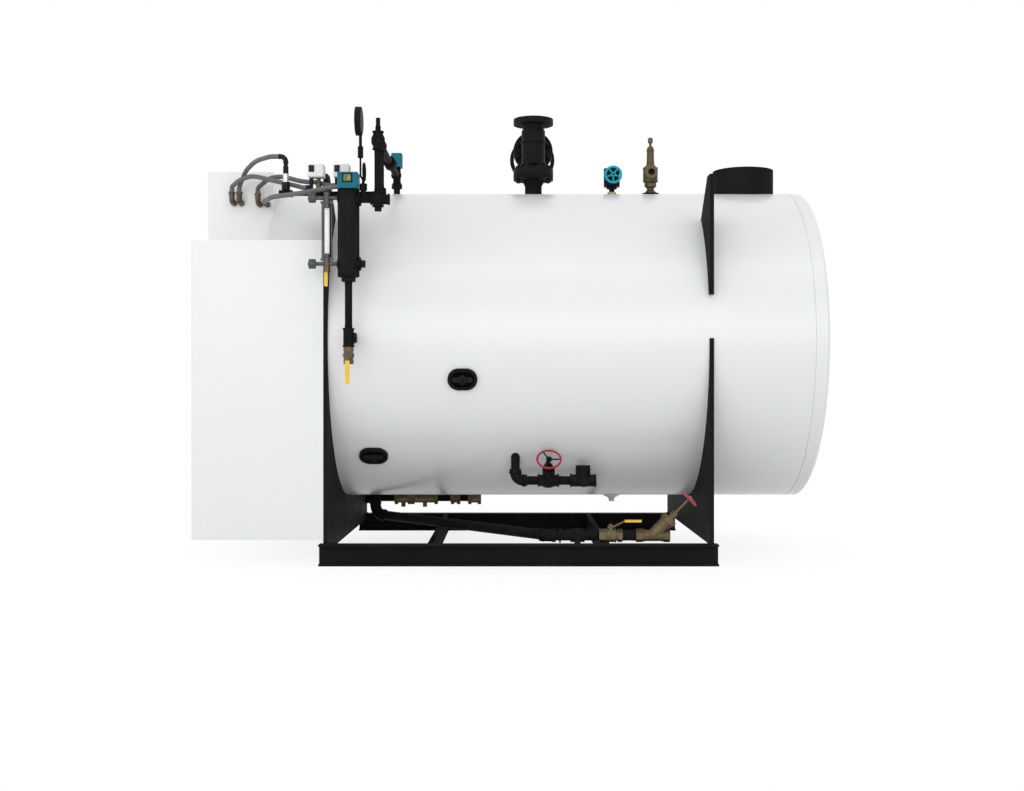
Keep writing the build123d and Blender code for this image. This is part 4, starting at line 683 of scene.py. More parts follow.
def column(tree, sides, radius, steps):
    """A closed upright shape: from a round or many-sided foot, each step rises and scales the top."""
    sizes = {"Vertices": sides, "Radius": radius}
    foot = add(tree, "GeometryNodeMeshCircle", sizes, fill_type="NGON").outputs[0]
    straight_up = vector_of(tree, Z=1.0)
    shape = foot
    top = None
    for rise, share in steps:
        inputs = {"Mesh": shape, "Offset": straight_up, "Offset Scale": rise}
        if top is not None:
            inputs["Selection"] = top
        raised = add(tree, "GeometryNodeExtrudeMesh", inputs).outputs
        top = raised["Top"]
        sized = {"Geometry": raised["Mesh"], "Selection": top, "Scale": share}
        shape = add(tree, "GeometryNodeScaleElements", sized).outputs[0]
    under = add(tree, "GeometryNodeFlipFaces", {"Mesh": foot}).outputs[0]
    both = {"Geometry": gathered(tree, shape, under), "Distance": 0.00001}
    return add(tree, "GeometryNodeMergeByDistance", both).outputs[0]


def bar(tree, length, width, height):
    size = vector_of(tree, X=length, Y=width, Z=height)
    return add(tree, "GeometryNodeMeshCube", {"Size": size}).outputs[0]


def ring_of(tree, given):
    """Points round a circle."""
    sizes = {"Vertices": given["Count"], "Radius": given["Circle"]}
    return add(tree, "GeometryNodeMeshCircle", sizes).outputs[0]


def row_of(tree, given, axis):
    """Points in a straight row along an axis."""
    offset = vector_of(tree, **{axis: given["Pitch"]})
    return add(tree, "GeometryNodeMeshLine", {"Count": given["Count"], "Offset": offset}).outputs[0]


def set_out(tree, given, put, points, shape, outward=False, scale=None):
    """A shape at each point, turned outward or scaled where asked, made real and painted."""
    inputs = {"Points": points, "Instance": shape}
    if outward:
        spot = add(tree, "GeometryNodeInputPosition").outputs[0]
        turn = add(tree, "FunctionNodeAlignRotationToVector", {"Vector": spot}, axis="X")
        inputs["Rotation"] = turn.outputs[0]
    if scale is not None:
        inputs["Scale"] = scale
    spread_out = add(tree, "GeometryNodeInstanceOnPoints", inputs).outputs[0]
    whole = add(tree, "GeometryNodeRealizeInstances", {0: spread_out}).outputs[0]
    finish = {"Geometry": whole, "Material": given["Material"]}
    join(tree, add(tree, "GeometryNodeSetMaterial", finish).outputs[0], put["Geometry"])
    return tree


def grower(name, **sizes):
    """A tree that grows a painted shape, with the sizes it starts from."""
    return group(name, {**sizes, "Material": None}, {"Geometry": SHAPE}, "GeometryNodeTree")


def make_nut_ring():
    """Studs in a circle, each with a washer and a chamfered nut."""
    sizes = {"Circle": 0.08, "Turn": 0.0, "Stud": 0.009, "Nut": 0.018, "Height": 0.019}
    tree, given, put = grower("nut_ring", Count=8, **sizes)
    angle = vector_of(tree, Z=given["Turn"])
    turn = add(tree, "FunctionNodeEulerToRotation", {0: angle}).outputs[0]
    turned_ring = {"Geometry": ring_of(tree, given), "Rotation": turn}
    ring = add(tree, "GeometryNodeTransform", turned_ring).outputs[0]
    washer_radius = share_of(tree, given["Nut"], 1.12)
    washer = column(tree, 20, washer_radius, [(share_of(tree, given["Height"], 0.16), 1.0)])
    crown = share_of(tree, given["Height"], 0.14)
    nut = column(tree, 6, given["Nut"], [(given["Height"], 1.0), (crown, 0.86)])
    stud_height = share_of(tree, given["Height"], 1.45)
    stud_end = share_of(tree, given["Stud"], 0.25)
    stud = column(tree, 12, given["Stud"], [(stud_height, 1.0), (stud_end, 0.72)])
    return set_out(tree, given, put, ring, gathered(tree, washer, nut, stud), outward=True)


def make_screw_grid():
    """Domed screw heads at the corners of a rectangle."""
    tree, given, put = grower("screw_grid", Across=0.05, Down=0.05, Columns=2, Rows=2, Head=0.003)
    sizes = {"Size X": given["Across"], "Size Y": given["Down"]}
    counts = {"Vertices X": given["Columns"], "Vertices Y": given["Rows"]}
    grid = add(tree, "GeometryNodeMeshGrid", {**sizes, **counts}).outputs[0]
    step = share_of(tree, given["Head"], 0.3)
    dome = [(step, 1.0), (step, 0.82), (share_of(tree, step, 0.5), 0.5)]
    head = column(tree, 16, given["Head"], dome)
    slot = bar(tree, share_of(tree, given["Head"], 1.3), share_of(tree, step, 0.6), step)
    lift = vector_of(tree, Z=share_of(tree, step, 2.15))
    slot = add(tree, "GeometryNodeTransform", {"Geometry": slot, "Translation": lift}).outputs[0]
    return set_out(tree, given, put, grid, gathered(tree, head, slot))


def make_band_row():
    """Round bands along an axis: the collars of a fitting, a round weld or the threads of a pipe."""
    tree, given, put = grower("band_row", Count=1, Pitch=0.002, Radius=0.02, Bead=0.003, Sides=36)
    ring = {"Resolution": given["Sides"], "Radius": given["Radius"]}
    section = {"Resolution": 8, "Radius": given["Bead"]}
    round_path = add(tree, "GeometryNodeCurvePrimitiveCircle", ring).outputs[0]
    bead = add(tree, "GeometryNodeCurvePrimitiveCircle", section).outputs[0]
    swept = {"Curve": round_path, "Profile Curve": bead}
    band = add(tree, "GeometryNodeCurveToMesh", swept).outputs[0]
    return set_out(tree, given, put, row_of(tree, given, "Z"), band)


def make_rib_ring():
    """Straight ribs round a knob or a coupling nut."""
    tree, given, put = grower("rib_ring", Count=12, Circle=0.02, Rib=0.002, Width=0.004, Length=0.02)
    rib = bar(tree, given["Rib"], given["Width"], given["Length"])
    return set_out(tree, given, put, ring_of(tree, given), rib, outward=True)


def make_tick_arc():
    """The marks of a dial along an arc."""
    line = {"Length": 0.006, "Width": 0.001, "Height": 0.0004}
    tree, given, put = grower("tick_arc", Count=11, Radius=0.05, Start=0.0, Sweep=4.71, **line)
    sizes = {"Resolution": given["Count"], "Radius": given["Radius"]}
    angles = {"Start Angle": given["Start"], "Sweep Angle": given["Sweep"]}
    arc = add(tree, "GeometryNodeCurveArc", {**sizes, **angles}).outputs[0]
    points = add(tree, "GeometryNodeCurveToPoints", {"Curve": arc}, mode="EVALUATED").outputs[0]
    tick = bar(tree, given["Length"], given["Width"], given["Height"])
    return set_out(tree, given, put, points, tick, outward=True)


def make_mark_row():
    """Marks in a straight row, as on a scale or a level screen."""
    line = {"Length": 0.004, "Width": 0.0008, "Height": 0.0004}
    tree, given, put = grower("mark_row", Count=8, Pitch=0.003, **line)
    mark = bar(tree, given["Length"], given["Width"], given["Height"])
    return set_out(tree, given, put, row_of(tree, given, "Y"), mark)


def make_weld_run():
    """The overlapping ripples of a weld along a straight joint, a little uneven in size."""
    tree, given, put = grower("weld_run", Count=20, Pitch=0.003, Bead=0.004)
    ball = {"Radius": given["Bead"], "Subdivisions": 2}
    ripple = add(tree, "GeometryNodeMeshIcoSphere", ball).outputs[0]
    low_to_high = {2: 0.82, 3: 1.12, "Seed": 7}
    uneven = add(tree, "FunctionNodeRandomValue", low_to_high, data_type="FLOAT").outputs[1]
    return set_out(tree, given, put, row_of(tree, given, "Y"), ripple, scale=uneven)


nut_ring = make_nut_ring()
screw_grid = make_screw_grid()
band_row = make_band_row()
rib_ring = make_rib_ring()
tick_arc = make_tick_arc()
mark_row = make_mark_row()
weld_run = make_weld_run()


def grown(tree, paint, **sizes):
    """A plain mesh from one of the trees, with its sizes set by the name of each input."""
    holder = bpy.data.objects.new(tree.name, bpy.data.meshes.new(tree.name))
    bpy.context.scene.collection.objects.link(holder)
    modifier = holder.modifiers.new(tree.name, "NODES")
    modifier.node_group = tree
    sockets = [item for item in tree.interface.items_tree if item.in_out == "INPUT"]
    keys = {item.name: item.identifier for item in sockets}
    modifier[keys["Material"]] = paints[paint]
    for label, value in sizes.items():
        modifier[keys[label]] = value
    return made_plain(holder)


def stand(place, axis=UP):
    """The place of a shape whose own Z follows an axis."""
    return Matrix.Translation(place) @ Vector(axis).to_track_quat("Z", "Y").to_matrix().to_4x4()


def facing(place, right=RIGHT, up=UP):
    """The place of a flat shape, by where its right and its top point."""
    turn = Matrix((right, up, right.cross(up))).transposed().to_4x4()
    return Matrix.Translation(place) @ turn


SHARP_EDGE = math.radians(35)


def piece(name, shapes, paint, body="boiler"):
    """One piece from shapes and their places, with its edges kept sharp, on the body that carries it."""
    built = bmesh.new()
    for mesh, place in shapes:
        start = len(built.verts)
        built.from_mesh(mesh)
        built.verts.ensure_lookup_table()
        bmesh.ops.transform(built, matrix=place, verts=built.verts[start:])
    bmesh.ops.recalc_face_normals(built, faces=built.faces)
    mesh = bpy.data.meshes.new(name)
    built.to_mesh(mesh)
    built.free()
    mesh.materials.clear()
    mesh.materials.append(paints[paint])
    mesh.polygons.foreach_set("material_index", [0] * len(mesh.polygons))
    mesh.polygons.foreach_set("use_smooth", [True] * len(mesh.polygons))
    mesh.set_sharp_from_angle(angle=SHARP_EDGE)
    made = bpy.data.objects.new(name, mesh)
    bpy.context.scene.collection.objects.link(made)
    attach(made, body)
    return made


# Steam valve: studs at the joint with the nozzle and at the bonnet, rings on the body, and gland nuts
STEAM_STUDS = 8
STUD_TURN = math.radians(22.5)
JOINT_CIRCLE = 0.08415
BONNET_CIRCLE = 0.086
BONNET_NEAR_FACE = 0.095
BONNET_FAR_FACE = 0.139
BODY_RING_HEIGHTS = (2.012, 2.128)
GLAND_FACE = 0.222
GLAND_REACH = 0.0265


def steam_studs(circle, stud, nut, height):
    """A ring of studs with nuts, whose first stud stands half a step round."""
    sizes = {"Circle": circle, "Stud": stud, "Nut": nut, "Height": height}
    return grown(nut_ring, "black_casting", Count=STEAM_STUDS, Turn=STUD_TURN, **sizes)


joint_top = Vector((STEAM_X, 0, STEAM_JOINT_Z + STEAM_FLANGE))
joint_under = Vector((STEAM_X, 0, STEAM_JOINT_Z - STEAM_FLANGE))
joint_studs = [
    (steam_studs(JOINT_CIRCLE, stud=0.0085, nut=0.0165, height=0.011), stand(joint_top, UP)),
    (steam_studs(JOINT_CIRCLE, stud=0.0085, nut=0.0165, height=0.0055), stand(joint_under, DOWN)),
]
piece("steam_joint_studs", joint_studs, "black_casting")
bonnet_nuts = steam_studs(BONNET_CIRCLE, stud=0.008, nut=0.0156, height=0.014)
bonnet_studs = [
    (bonnet_nuts, stand(STEAM_VALVE + FAR * BONNET_FAR_FACE, FAR)),
    (bonnet_nuts, stand(STEAM_VALVE + FAR * BONNET_NEAR_FACE, NEAR)),
]
piece("steam_bonnet_studs", bonnet_studs, "black_casting")
body_ring = grown(band_row, "black_casting", Count=1, Radius=0.0625, Bead=0.006, Sides=48)
body_rings = [(body_ring, stand(Vector((STEAM_X, 0, height)))) for height in BODY_RING_HEIGHTS]
piece("steam_body_rings", body_rings, "black_casting")
gland_stud = stub(0.0034, shoulder=0.0105, crown=0.0026, top=0.012, sides=16)
gland_nuts = []
for side in (-1, 1):
    gland_place = stand(STEAM_VALVE + FAR * GLAND_FACE + RIGHT * (side * GLAND_REACH), FAR)
    gland_nuts += [(hex_nut(0.011, 0.008), gland_place), (gland_stud, gland_place)]
piece("steam_gland_nuts", gland_nuts, "zinc_steel")

# Nuts that hold the wheels on their stems: hub, the way out, lift off the hub, flats, height and paint
wheel_nuts = {
    "steam_wheel": (STEAM_HUB, FAR, 0.0125, 0.042, 0.014, "black_casting"),
    "vent_wheel": (VENT_HUB, NEAR, 0.0055, 0.0185, 0.006, "cyan_enamel"),
    "feed_wheel": (FEED_HUB, FEED_STEM, 0.0045, 0.018, 0.0065, "black_casting"),
    "blow_wheel": (BLOW_HUB, BLOW_STEM, 0.0055, 0.0185, 0.0065, "zinc_steel"),
}
for wheel, (hub, outward, lift, flats, height, paint) in wheel_nuts.items():
    nut_place = stand(hub + outward * lift, outward)
    piece(f"{wheel}_nut", [(hex_nut(flats, height), nut_place)], paint, wheel)

# Pressure gauge, turned to the burner end: case band, card, marks, figures, needle and lens
DIAL_RADIUS = 0.0598
DIAL_SIDES = 64
DIAL_SWEEP = math.radians(270)
DIAL_ZERO = math.radians(225)
DIAL_FACE = 0.007
DIAL_BACK = 0.014
CARD_TOP = 0.0008
CARD_LIFT = 0.0001
MARK_LIFT = 0.0011
BOSS_LIFT = 0.0012
NEEDLE_LIFT = 0.0018
LENS_LIFT = 0.0045
FIGURE_CIRCLE = 0.041
FIGURE_SIZE = 0.0105
PRESSURES = range(0, 301, 50)


def on_dial(height):
    """The place of a flat shape some height above the dial's face."""
    return facing(DIAL_CENTRE + LEFT * (DIAL_FACE + height), right=NEAR)


case_outline = [(0.0602, 0), (0.0635, 0.0012), (0.0645, 0.003), (0.0645, 0.0178), (0.0602, 0.0178)]
case_band = turned(case_outline, DIAL_SIDES, closed=True)
piece("dial_case", [(case_band, stand(DIAL_CENTRE + RIGHT * DIAL_BACK, LEFT))], "black_casting")
card = turned([(0, 0), (DIAL_RADIUS, 0), (DIAL_RADIUS, CARD_TOP), (0, CARD_TOP)], DIAL_SIDES)
piece("dial_card", [(card, on_dial(CARD_LIFT))], "dial_card")
arc = {"Start": DIAL_ZERO - DIAL_SWEEP, "Sweep": DIAL_SWEEP}
long_marks = grown(tick_arc, "black_plastic", Count=31, Radius=0.0525, Length=0.007, Width=0.0012, **arc)
short_marks = grown(tick_arc, "black_plastic", Count=121, Radius=0.0545, Length=0.0035, Width=0.0005, **arc)
dial_marks = [(mesh, on_dial(MARK_LIFT)) for mesh in (long_marks, short_marks)]
piece("dial_marks", dial_marks, "black_plastic")
numbers = []
for order, pressure in enumerate(PRESSURES):
    angle = DIAL_ZERO - DIAL_SWEEP * order / (len(PRESSURES) - 1)
    spot = (FIGURE_CIRCLE * math.cos(angle), FIGURE_CIRCLE * math.sin(angle), 0)
    numbers.append((figures(str(pressure), FIGURE_SIZE), on_dial(MARK_LIFT) @ Matrix.Translation(spot)))
piece("dial_figures", numbers, "black_plastic")
needle_edge = [(-0.016, 0.0024), (-0.012, 0.0012), (0.048, 0.0004)]
needle = prism([(x, -y) for x, y in needle_edge] + needle_edge[::-1], 0.0006)
boss = stub(0.0045, shoulder=0.0012, crown=0.003, top=0.0019)
at_zero = on_dial(NEEDLE_LIFT) @ Matrix.Rotation(DIAL_ZERO, 4, "Z")
piece("dial_needle", [(needle, at_zero), (boss, on_dial(BOSS_LIFT))], "black_plastic")
lens_outline = [(0, 0), (DIAL_RADIUS, 0), (DIAL_RADIUS, 0.0012), (0.03, 0.0017), (0, 0.0018)]
piece("dial_lens", [(turned(lens_outline, DIAL_SIDES), on_dial(LENS_LIFT))], "clear_glass")

# Column head: bezel, level screen with its bars, and cover screws
HEAD_CENTRE = Vector((COLUMN_X, HEAD_FACE_Y, 1.7655))
SCREEN_LIFT = 0.0031
SCREEN_MIDDLE = (0, 0, 0.0004)
FIRST_BAR = (-0.006, -0.0086, 0.00095)
screen_place = facing(HEAD_WINDOW + NEAR * SCREEN_LIFT)
bezel = pane(width=0.041, height=0.036, rim=0.0045, depth=0.0024)
piece("head_bezel", [(bezel, screen_place)], "black_plastic")
screen = block(0.0335, 0.0285, 0.0009, edge=0.0003)
piece("head_screen", [(screen, screen_place @ Matrix.Translation(SCREEN_MIDDLE))], "olive_lcd")
bar_sizes = {"Count": 6, "Pitch": 0.0034, "Length": 0.012, "Width": 0.0014, "Height": 0.0002}
level_bars = grown(mark_row, "black_plastic", **bar_sizes)
piece("level_marks", [(level_bars, screen_place @ Matrix.Translation(FIRST_BAR))], "black_plastic")
head_screws = grown(screw_grid, "teal_enamel", Across=0.074, Down=0.055, Columns=2, Rows=2, Head=0.0028)
piece("head_screws", [(head_screws, facing(HEAD_CENTRE))], "teal_enamel")

# Pressure controls: window frames, scales with pointers, cover screws and the adjusters on top
WINDOW_ACROSS = 0.01925
WINDOW_PROUD = 0.002
WINDOW_RISE = 0.03775
SCREWS_ACROSS = 0.056
SCREWS_RISE = 0.03
CONTROL_HEIGHT = 0.06
ADJUSTERS_ACROSS = (0.02, 0.052)
FIRST_MARK = (-0.0035, -0.0084, 0.0003)
POINTER = (0.0035, 0.002, 0.0003)
window_frame = pane(width=0.0245, height=0.0305, rim=0.0035, depth=0.0016)
scale_sizes = {"Count": 5, "Pitch": 0.0042, "Length": 0.004, "Width": 0.0004, "Height": 0.0003}
scale = grown(mark_row, "grey_metal", **scale_sizes)
pointer = block(0.006, 0.0011, 0.0004, edge=0.0001)
screw = grown(screw_grid, "bright_steel", Across=0.022, Down=0.044, Columns=2, Rows=2, Head=0.0022)
adjuster_outline = [(0, 0), (0.0048, 0), (0.0048, 0.003), (0.0036, 0.0042), (0.0036, 0.006), (0, 0.006)]
adjuster = turned(adjuster_outline, 20)
frames = []
scales = []
screws = []
adjusters = []
for start in CONTROL_STARTS:
    window_spot = (start + WINDOW_ACROSS, CONTROL_FACE_Y - WINDOW_PROUD, CONTROL_BOTTOM + WINDOW_RISE)
    window = facing(Vector(window_spot))
    frames.append((window_frame, window))
    scales.append((scale, window @ Matrix.Translation(FIRST_MARK)))
    scales.append((pointer, window @ Matrix.Translation(POINTER)))
    screws_spot = Vector((start + SCREWS_ACROSS, CONTROL_FACE_Y, CONTROL_BOTTOM + SCREWS_RISE))
    screws.append((screw, facing(screws_spot)))
    for across in ADJUSTERS_ACROSS:
        spot = Vector((start + across, CONTROL_MIDDLE_Y, CONTROL_BOTTOM + CONTROL_HEIGHT))
        adjusters.append((adjuster, stand(spot)))
piece("control_frames", frames, "black_plastic")
piece("control_scales", scales, "grey_metal")
piece("control_screws", screws, "bright_steel")
piece("control_adjusters", adjusters, "bright_steel")

# Gauge glass: a clear tube with a white backing, packing nuts, and ribs and caps on the valve knobs
GLASS_LOW = 1.417
GLASS_HIGH = 1.664
TUBE_RADIUS = 0.0119
TUBE_BORE = 0.0113
STRIP_WIDTH = 0.0218
STRIP_THICKNESS = 0.0012
STRIP_SHORTER = 0.002
KNOB_X = -0.938
KNOB_CAP_X = -0.953
KNOB_HEIGHTS = (1.69, LOW_BOSS_Z)
tube_length = GLASS_HIGH - GLASS_LOW
tube_outline = [(TUBE_RADIUS, 0), (TUBE_RADIUS, tube_length), (TUBE_BORE, tube_length), (TUBE_BORE, 0)]
tube_low = Vector((GLASS_X, TRIM_Y, GLASS_LOW))
tube_high = Vector((GLASS_X, TRIM_Y, GLASS_HIGH))
glass = piece("sight_tube", [(turned(tube_outline, closed=True), stand(tube_low))], "clear_glass")
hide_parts("gauge_glass")
backing = block(STRIP_WIDTH, STRIP_THICKNESS, tube_length - STRIP_SHORTER, edge=0.0003)
backing_place = Matrix.Translation(tube_low + UP * (tube_length / 2))
piece("sight_backing", [(backing, backing_place)], "white_strip")
packing = hex_nut(flats=0.0275, height=0.02)
packing_nuts = [(packing, stand(tube_high, DOWN)), (packing, stand(tube_low, UP))]
piece("packing_nuts", packing_nuts, "grey_metal")
knob_ribs = grown(rib_ring, "grey_metal", Count=12, Circle=0.0205, Rib=0.003, Width=0.0048, Length=0.024)
cap_outline = [(0, 0), (0.009, 0), (0.009, 0.002), (0.0065, 0.0035), (0.0065, 0.0045), (0, 0.0045)]
knob_cap = turned(cap_outline, 24)
knobs = []
for height in KNOB_HEIGHTS:
    knobs.append((knob_ribs, stand(Vector((KNOB_X, TRIM_Y, height)), LEFT)))
    knobs.append((knob_cap, stand(Vector((KNOB_CAP_X, TRIM_Y, height)), LEFT)))
piece("knob_ribs", knobs, "grey_metal")

# Pipe fittings of the trim: raised collars at their mouths, a union, the bellies of the tees and a plug
COLLAR = 0.0042
TRIM_COLLAR = 0.023
FEED_COLLAR = 0.0285
BOSS_COLLAR = 0.026
BOSS_REACH = 0.057
BOSS_BEAD = 0.006
CROSS_REACH = 0.035
TEE_REACH = 0.043
DROP_REACH = 0.034
UNION_LENGTH = 0.052
UNION_RIM = 0.02
MANIFOLD_REACH = 0.03
MANIFOLD_BEAD = 0.0028
CONTROL_LEG = 0.046
riser_low = Vector((RISER_X, TRIM_Y, HEADER_Z))
riser_high = Vector((RISER_X, TRIM_Y, RISER_TOP))
probe_cross = Vector((RISER_X, 0, RISER_TOP))
union = Vector((RISER_X, -0.4, RISER_TOP))
drop_high = Vector((RISER_X, MANIFOLD_Y, RISER_TOP))
drop_low = Vector((RISER_X, MANIFOLD_Y, MANIFOLD_Z))
column_foot = Vector((COLUMN_X, TRIM_Y, 1.331))
column_low = Vector((COLUMN_X, TRIM_Y, LOW_BOSS_Z))
column_high = Vector((COLUMN_X, TRIM_Y, HEADER_Z))
column_tee = Vector((COLUMN_X, TRIM_Y, 1.057))
blow_turn = Vector((0.135, -RAIL_Y, BLOW_Z))
feed_corner = Vector((-0.0145, FEED_Y, FEED_Z))


def collars(centre, radius, *mouths, bead=COLLAR):
    """The collar rings of one fitting, each a little inside its mouth."""
    rows = []
    for way, reach in mouths:
        ring = grown(band_row, "black_pipe", Count=1, Radius=radius, Bead=bead)
        rows.append((ring, stand(centre + way * (reach - bead), way)))
    return rows


half_belly = [(0.0175, 0.029), (0.024, 0.025), (0.031, 0.011)]
tee_belly = turned([(r, -z) for r, z in half_belly] + half_belly[::-1], closed=True)
riser_mouths = [(LEFT, CROSS_REACH), (UP, CROSS_REACH), (DOWN, CROSS_REACH), (RIGHT, 0.053)]
fittings = [
    *collars(riser_low, TRIM_COLLAR, *riser_mouths),
    *collars(riser_high, TRIM_COLLAR, (DOWN, TEE_REACH), (UP, TEE_REACH), (FAR, TEE_REACH)),
    *collars(drop_high, TRIM_COLLAR, (NEAR, DROP_REACH), (FAR, DROP_REACH), (DOWN, DROP_REACH)),
    *collars(drop_low, TRIM_COLLAR, (UP, 0.0255)),
    *collars(drop_low, 0.0207, (LEFT, 0.026)),
    *collars(probe_cross, TRIM_COLLAR, (NEAR, TEE_REACH)),
    *collars(probe_cross, 0.02, (DOWN, TEE_REACH)),
    *collars(column_tee, 0.024, (UP, TEE_REACH), (DOWN, TEE_REACH), (FAR, TEE_REACH)),
    *collars(feed_corner, FEED_COLLAR, (UP, TEE_REACH), (RIGHT, TEE_REACH)),
    *collars(blow_turn, 0.031, (RIGHT, 0.062)),
    *collars(column_low, BOSS_COLLAR, (RIGHT, BOSS_REACH), bead=BOSS_BEAD),
    *collars(column_high, BOSS_COLLAR, (RIGHT, BOSS_REACH), bead=BOSS_BEAD),
    *collars(union, 0.0235, (NEAR, UNION_RIM), (FAR, UNION_LENGTH + UNION_RIM), bead=0.007),
    (hex_nut(0.06, UNION_LENGTH), stand(union, FAR)),
    (tee_belly, stand(riser_high)),
    (tee_belly, stand(riser_low)),
    (hex_nut(0.042, 0.014), stand(column_tee + RIGHT * 0.021, RIGHT)),
    *collars(column_foot, 0.0445, (UP, 0.012), (UP, 0.398), bead=0.005),
]
for station in (*(start + CONTROL_LEG for start in CONTROL_STARTS), TRANSMITTER_X):
    spot = Vector((station, MANIFOLD_Y, MANIFOLD_Z))
    run = [(LEFT, MANIFOLD_REACH), (RIGHT, MANIFOLD_REACH)]
    fittings += collars(spot, 0.016, *run, bead=MANIFOLD_BEAD)
    fittings += collars(spot, 0.015, (UP, 0.0183), bead=MANIFOLD_BEAD)
piece("fitting_collars", fittings, "black_pipe")

# Feed valves: collars at their mouths, a ring under the check valve's cap and the plug in its side
CHECK_PLUG_REACH = 0.051
VALVE_REACH = 0.052
CHECK_REACH = 0.063
check_side = Vector((FEED_CHECK.x, FEED_Y - CHECK_PLUG_REACH, FEED_Z))
feed_collars = [
    *collars(FEED_VALVE, FEED_COLLAR, (LEFT, VALVE_REACH), (RIGHT, VALVE_REACH)),
    *collars(FEED_CHECK, 0.0295, (LEFT, CHECK_REACH), (RIGHT, CHECK_REACH)),
    *collars(FEED_CHECK, 0.0355, (UP, 0.055), bead=0.003),
    (hex_nut(0.038, 0.014), stand(check_side, NEAR)),
]
piece("feed_collars", feed_collars, "black_casting")

# Threads that show beside the fittings
THREADS = 6
THREAD_PITCH = 0.0022
THREAD_BEAD = 0.0009
TRIM_PIPE = 0.0167
MANIFOLD_PIPE = 0.0107
FEED_PIPE = 0.0211
BLOW_PIPE = 0.02415
DROP_FOOT = 0.026


def threads(centre, way, reach, radius):
    """The threads on a pipe of some radius, from where it leaves a fitting."""
    sizes = {"Count": THREADS, "Pitch": THREAD_PITCH, "Radius": radius, "Bead": THREAD_BEAD}
    return grown(band_row, "black_pipe", **sizes), stand(centre + way * reach + way * THREAD_PITCH, way)


column_end = Vector((COLUMN_X, TRIM_Y, 1.31))
thread_rows = [
    threads(riser_low, UP, CROSS_REACH, TRIM_PIPE),
    threads(riser_low, LEFT, CROSS_REACH, TRIM_PIPE),
    threads(riser_high, DOWN, TEE_REACH, TRIM_PIPE),
    threads(riser_high, FAR, TEE_REACH, TRIM_PIPE),
    threads(drop_high, DOWN, DROP_REACH, TRIM_PIPE),
    threads(drop_high, FAR, DROP_REACH, TRIM_PIPE),
    threads(drop_low, UP, DROP_FOOT, TRIM_PIPE),
    threads(drop_low, LEFT, DROP_FOOT, MANIFOLD_PIPE),
    threads(probe_cross, NEAR, TEE_REACH, TRIM_PIPE),
    threads(column_tee, UP, TEE_REACH, TRIM_PIPE),
    threads(column_end, DOWN, 0, TRIM_PIPE),
    threads(feed_corner, UP, TEE_REACH, FEED_PIPE),
    threads(feed_corner, RIGHT, TEE_REACH, FEED_PIPE),
    threads(FEED_VALVE, RIGHT, VALVE_REACH, FEED_PIPE),
]
for x, way in ((0.375, LEFT), (0.4835, RIGHT), (0.547, LEFT)):
    thread_rows.append(threads(Vector((x, -RAIL_Y, BLOW_Z)), way, 0, BLOW_PIPE))
piece("pipe_threads", thread_rows, "black_pipe")

# Bronze pieces: rings on the valves' bodies, and ribs on the coupling nuts of the conduits
drain_valve = Vector((COLUMN_X, TRIM_Y, 0.975))
safety_body = Vector((SAFETY_X, 0, 1.911))
safety_outlet = Vector((SAFETY_X, 0, 1.96705))
safety_bonnet = Vector((SAFETY_X, 0, 2.0174))
bronze_rings = [
    *collars(BLOW_BALL_VALVE, 0.031, (RIGHT, 0.026), (LEFT, 0.022), bead=0.0025),
    *collars(BLOW_Y_VALVE, 0.0265, (LEFT, 0.045), (RIGHT, 0.049), bead=0.0035),
    *collars(BLOW_Y_VALVE, 0.0295, (BLOW_STEM, 0.088), bead=0.0035),
    *collars(drain_valve, 0.0245, (UP, 0.01), (DOWN, 0.006), bead=0.002),
    *collars(safety_body, 0.0385, (UP, 0.019), (UP, 0.085), bead=0.0025),
    *collars(safety_outlet, 0.0315, (NEAR, 0.052), bead=0.003),
    *collars(safety_bonnet, 0.02, (UP, 0.006), (UP, 0.07), bead=0.0018),
]
piece("bronze_rings", bronze_rings, "cast_bronze")
rib_sizes = {"Count": 18, "Circle": 0.0142, "Rib": 0.0024, "Width": 0.0022, "Length": 0.009}
coupling_ribs = grown(rib_ring, "dark_bronze", **rib_sizes)
couplings = [
    ((-1.393, -0.527, 1.7775), UP),
    ((-1.3565, -0.527, 1.7775), UP),
    ((-1.2665, -0.527, 1.7715), UP),
    ((-1.23, -0.5305, 1.73), NEAR),
]
coupling_places = [(coupling_ribs, stand(Vector(spot), way)) for spot, way in couplings]
piece("coupling_ribs", coupling_places, "dark_bronze")

# Handholes: a gasket round each cover, and the end of its stud with threads and a collar
HANDHOLES = ((-0.2625, -0.19), (-0.7, -0.554))
GASKET_END = 0.0367
GASKET_HALF = 0.018
GASKET_THICKNESS = 0.002
GASKET_DEPTH = 0.0335
YOKE_NUT_TOP = 0.034
STUD_RADIUS = 0.0095
half_circle = [math.radians(7.5 * step) for step in range(-12, 13)]
gasket_outline = [(GASKET_HALF + GASKET_END * math.cos(a), GASKET_END * math.sin(a)) for a in half_circle]
gasket_outline += [(-x, -y) for x, y in gasket_outline]
gasket = prism(gasket_outline, GASKET_THICKNESS)
stud_end = stub(STUD_RADIUS, shoulder=0.011, crown=0.0075, top=0.013, foot=-0.004, sides=20)
stud_sizes = {"Count": 5, "Pitch": THREAD_PITCH, "Radius": STUD_RADIUS, "Bead": 0.0008, "Sides": 20}
stud_threads = grown(band_row, "black_casting", **stud_sizes)
stud_collar = stub(0.023, shoulder=0.0, crown=0.0205, top=0.0015, foot=-0.003, sides=28)
gaskets = []
stud_ends = []
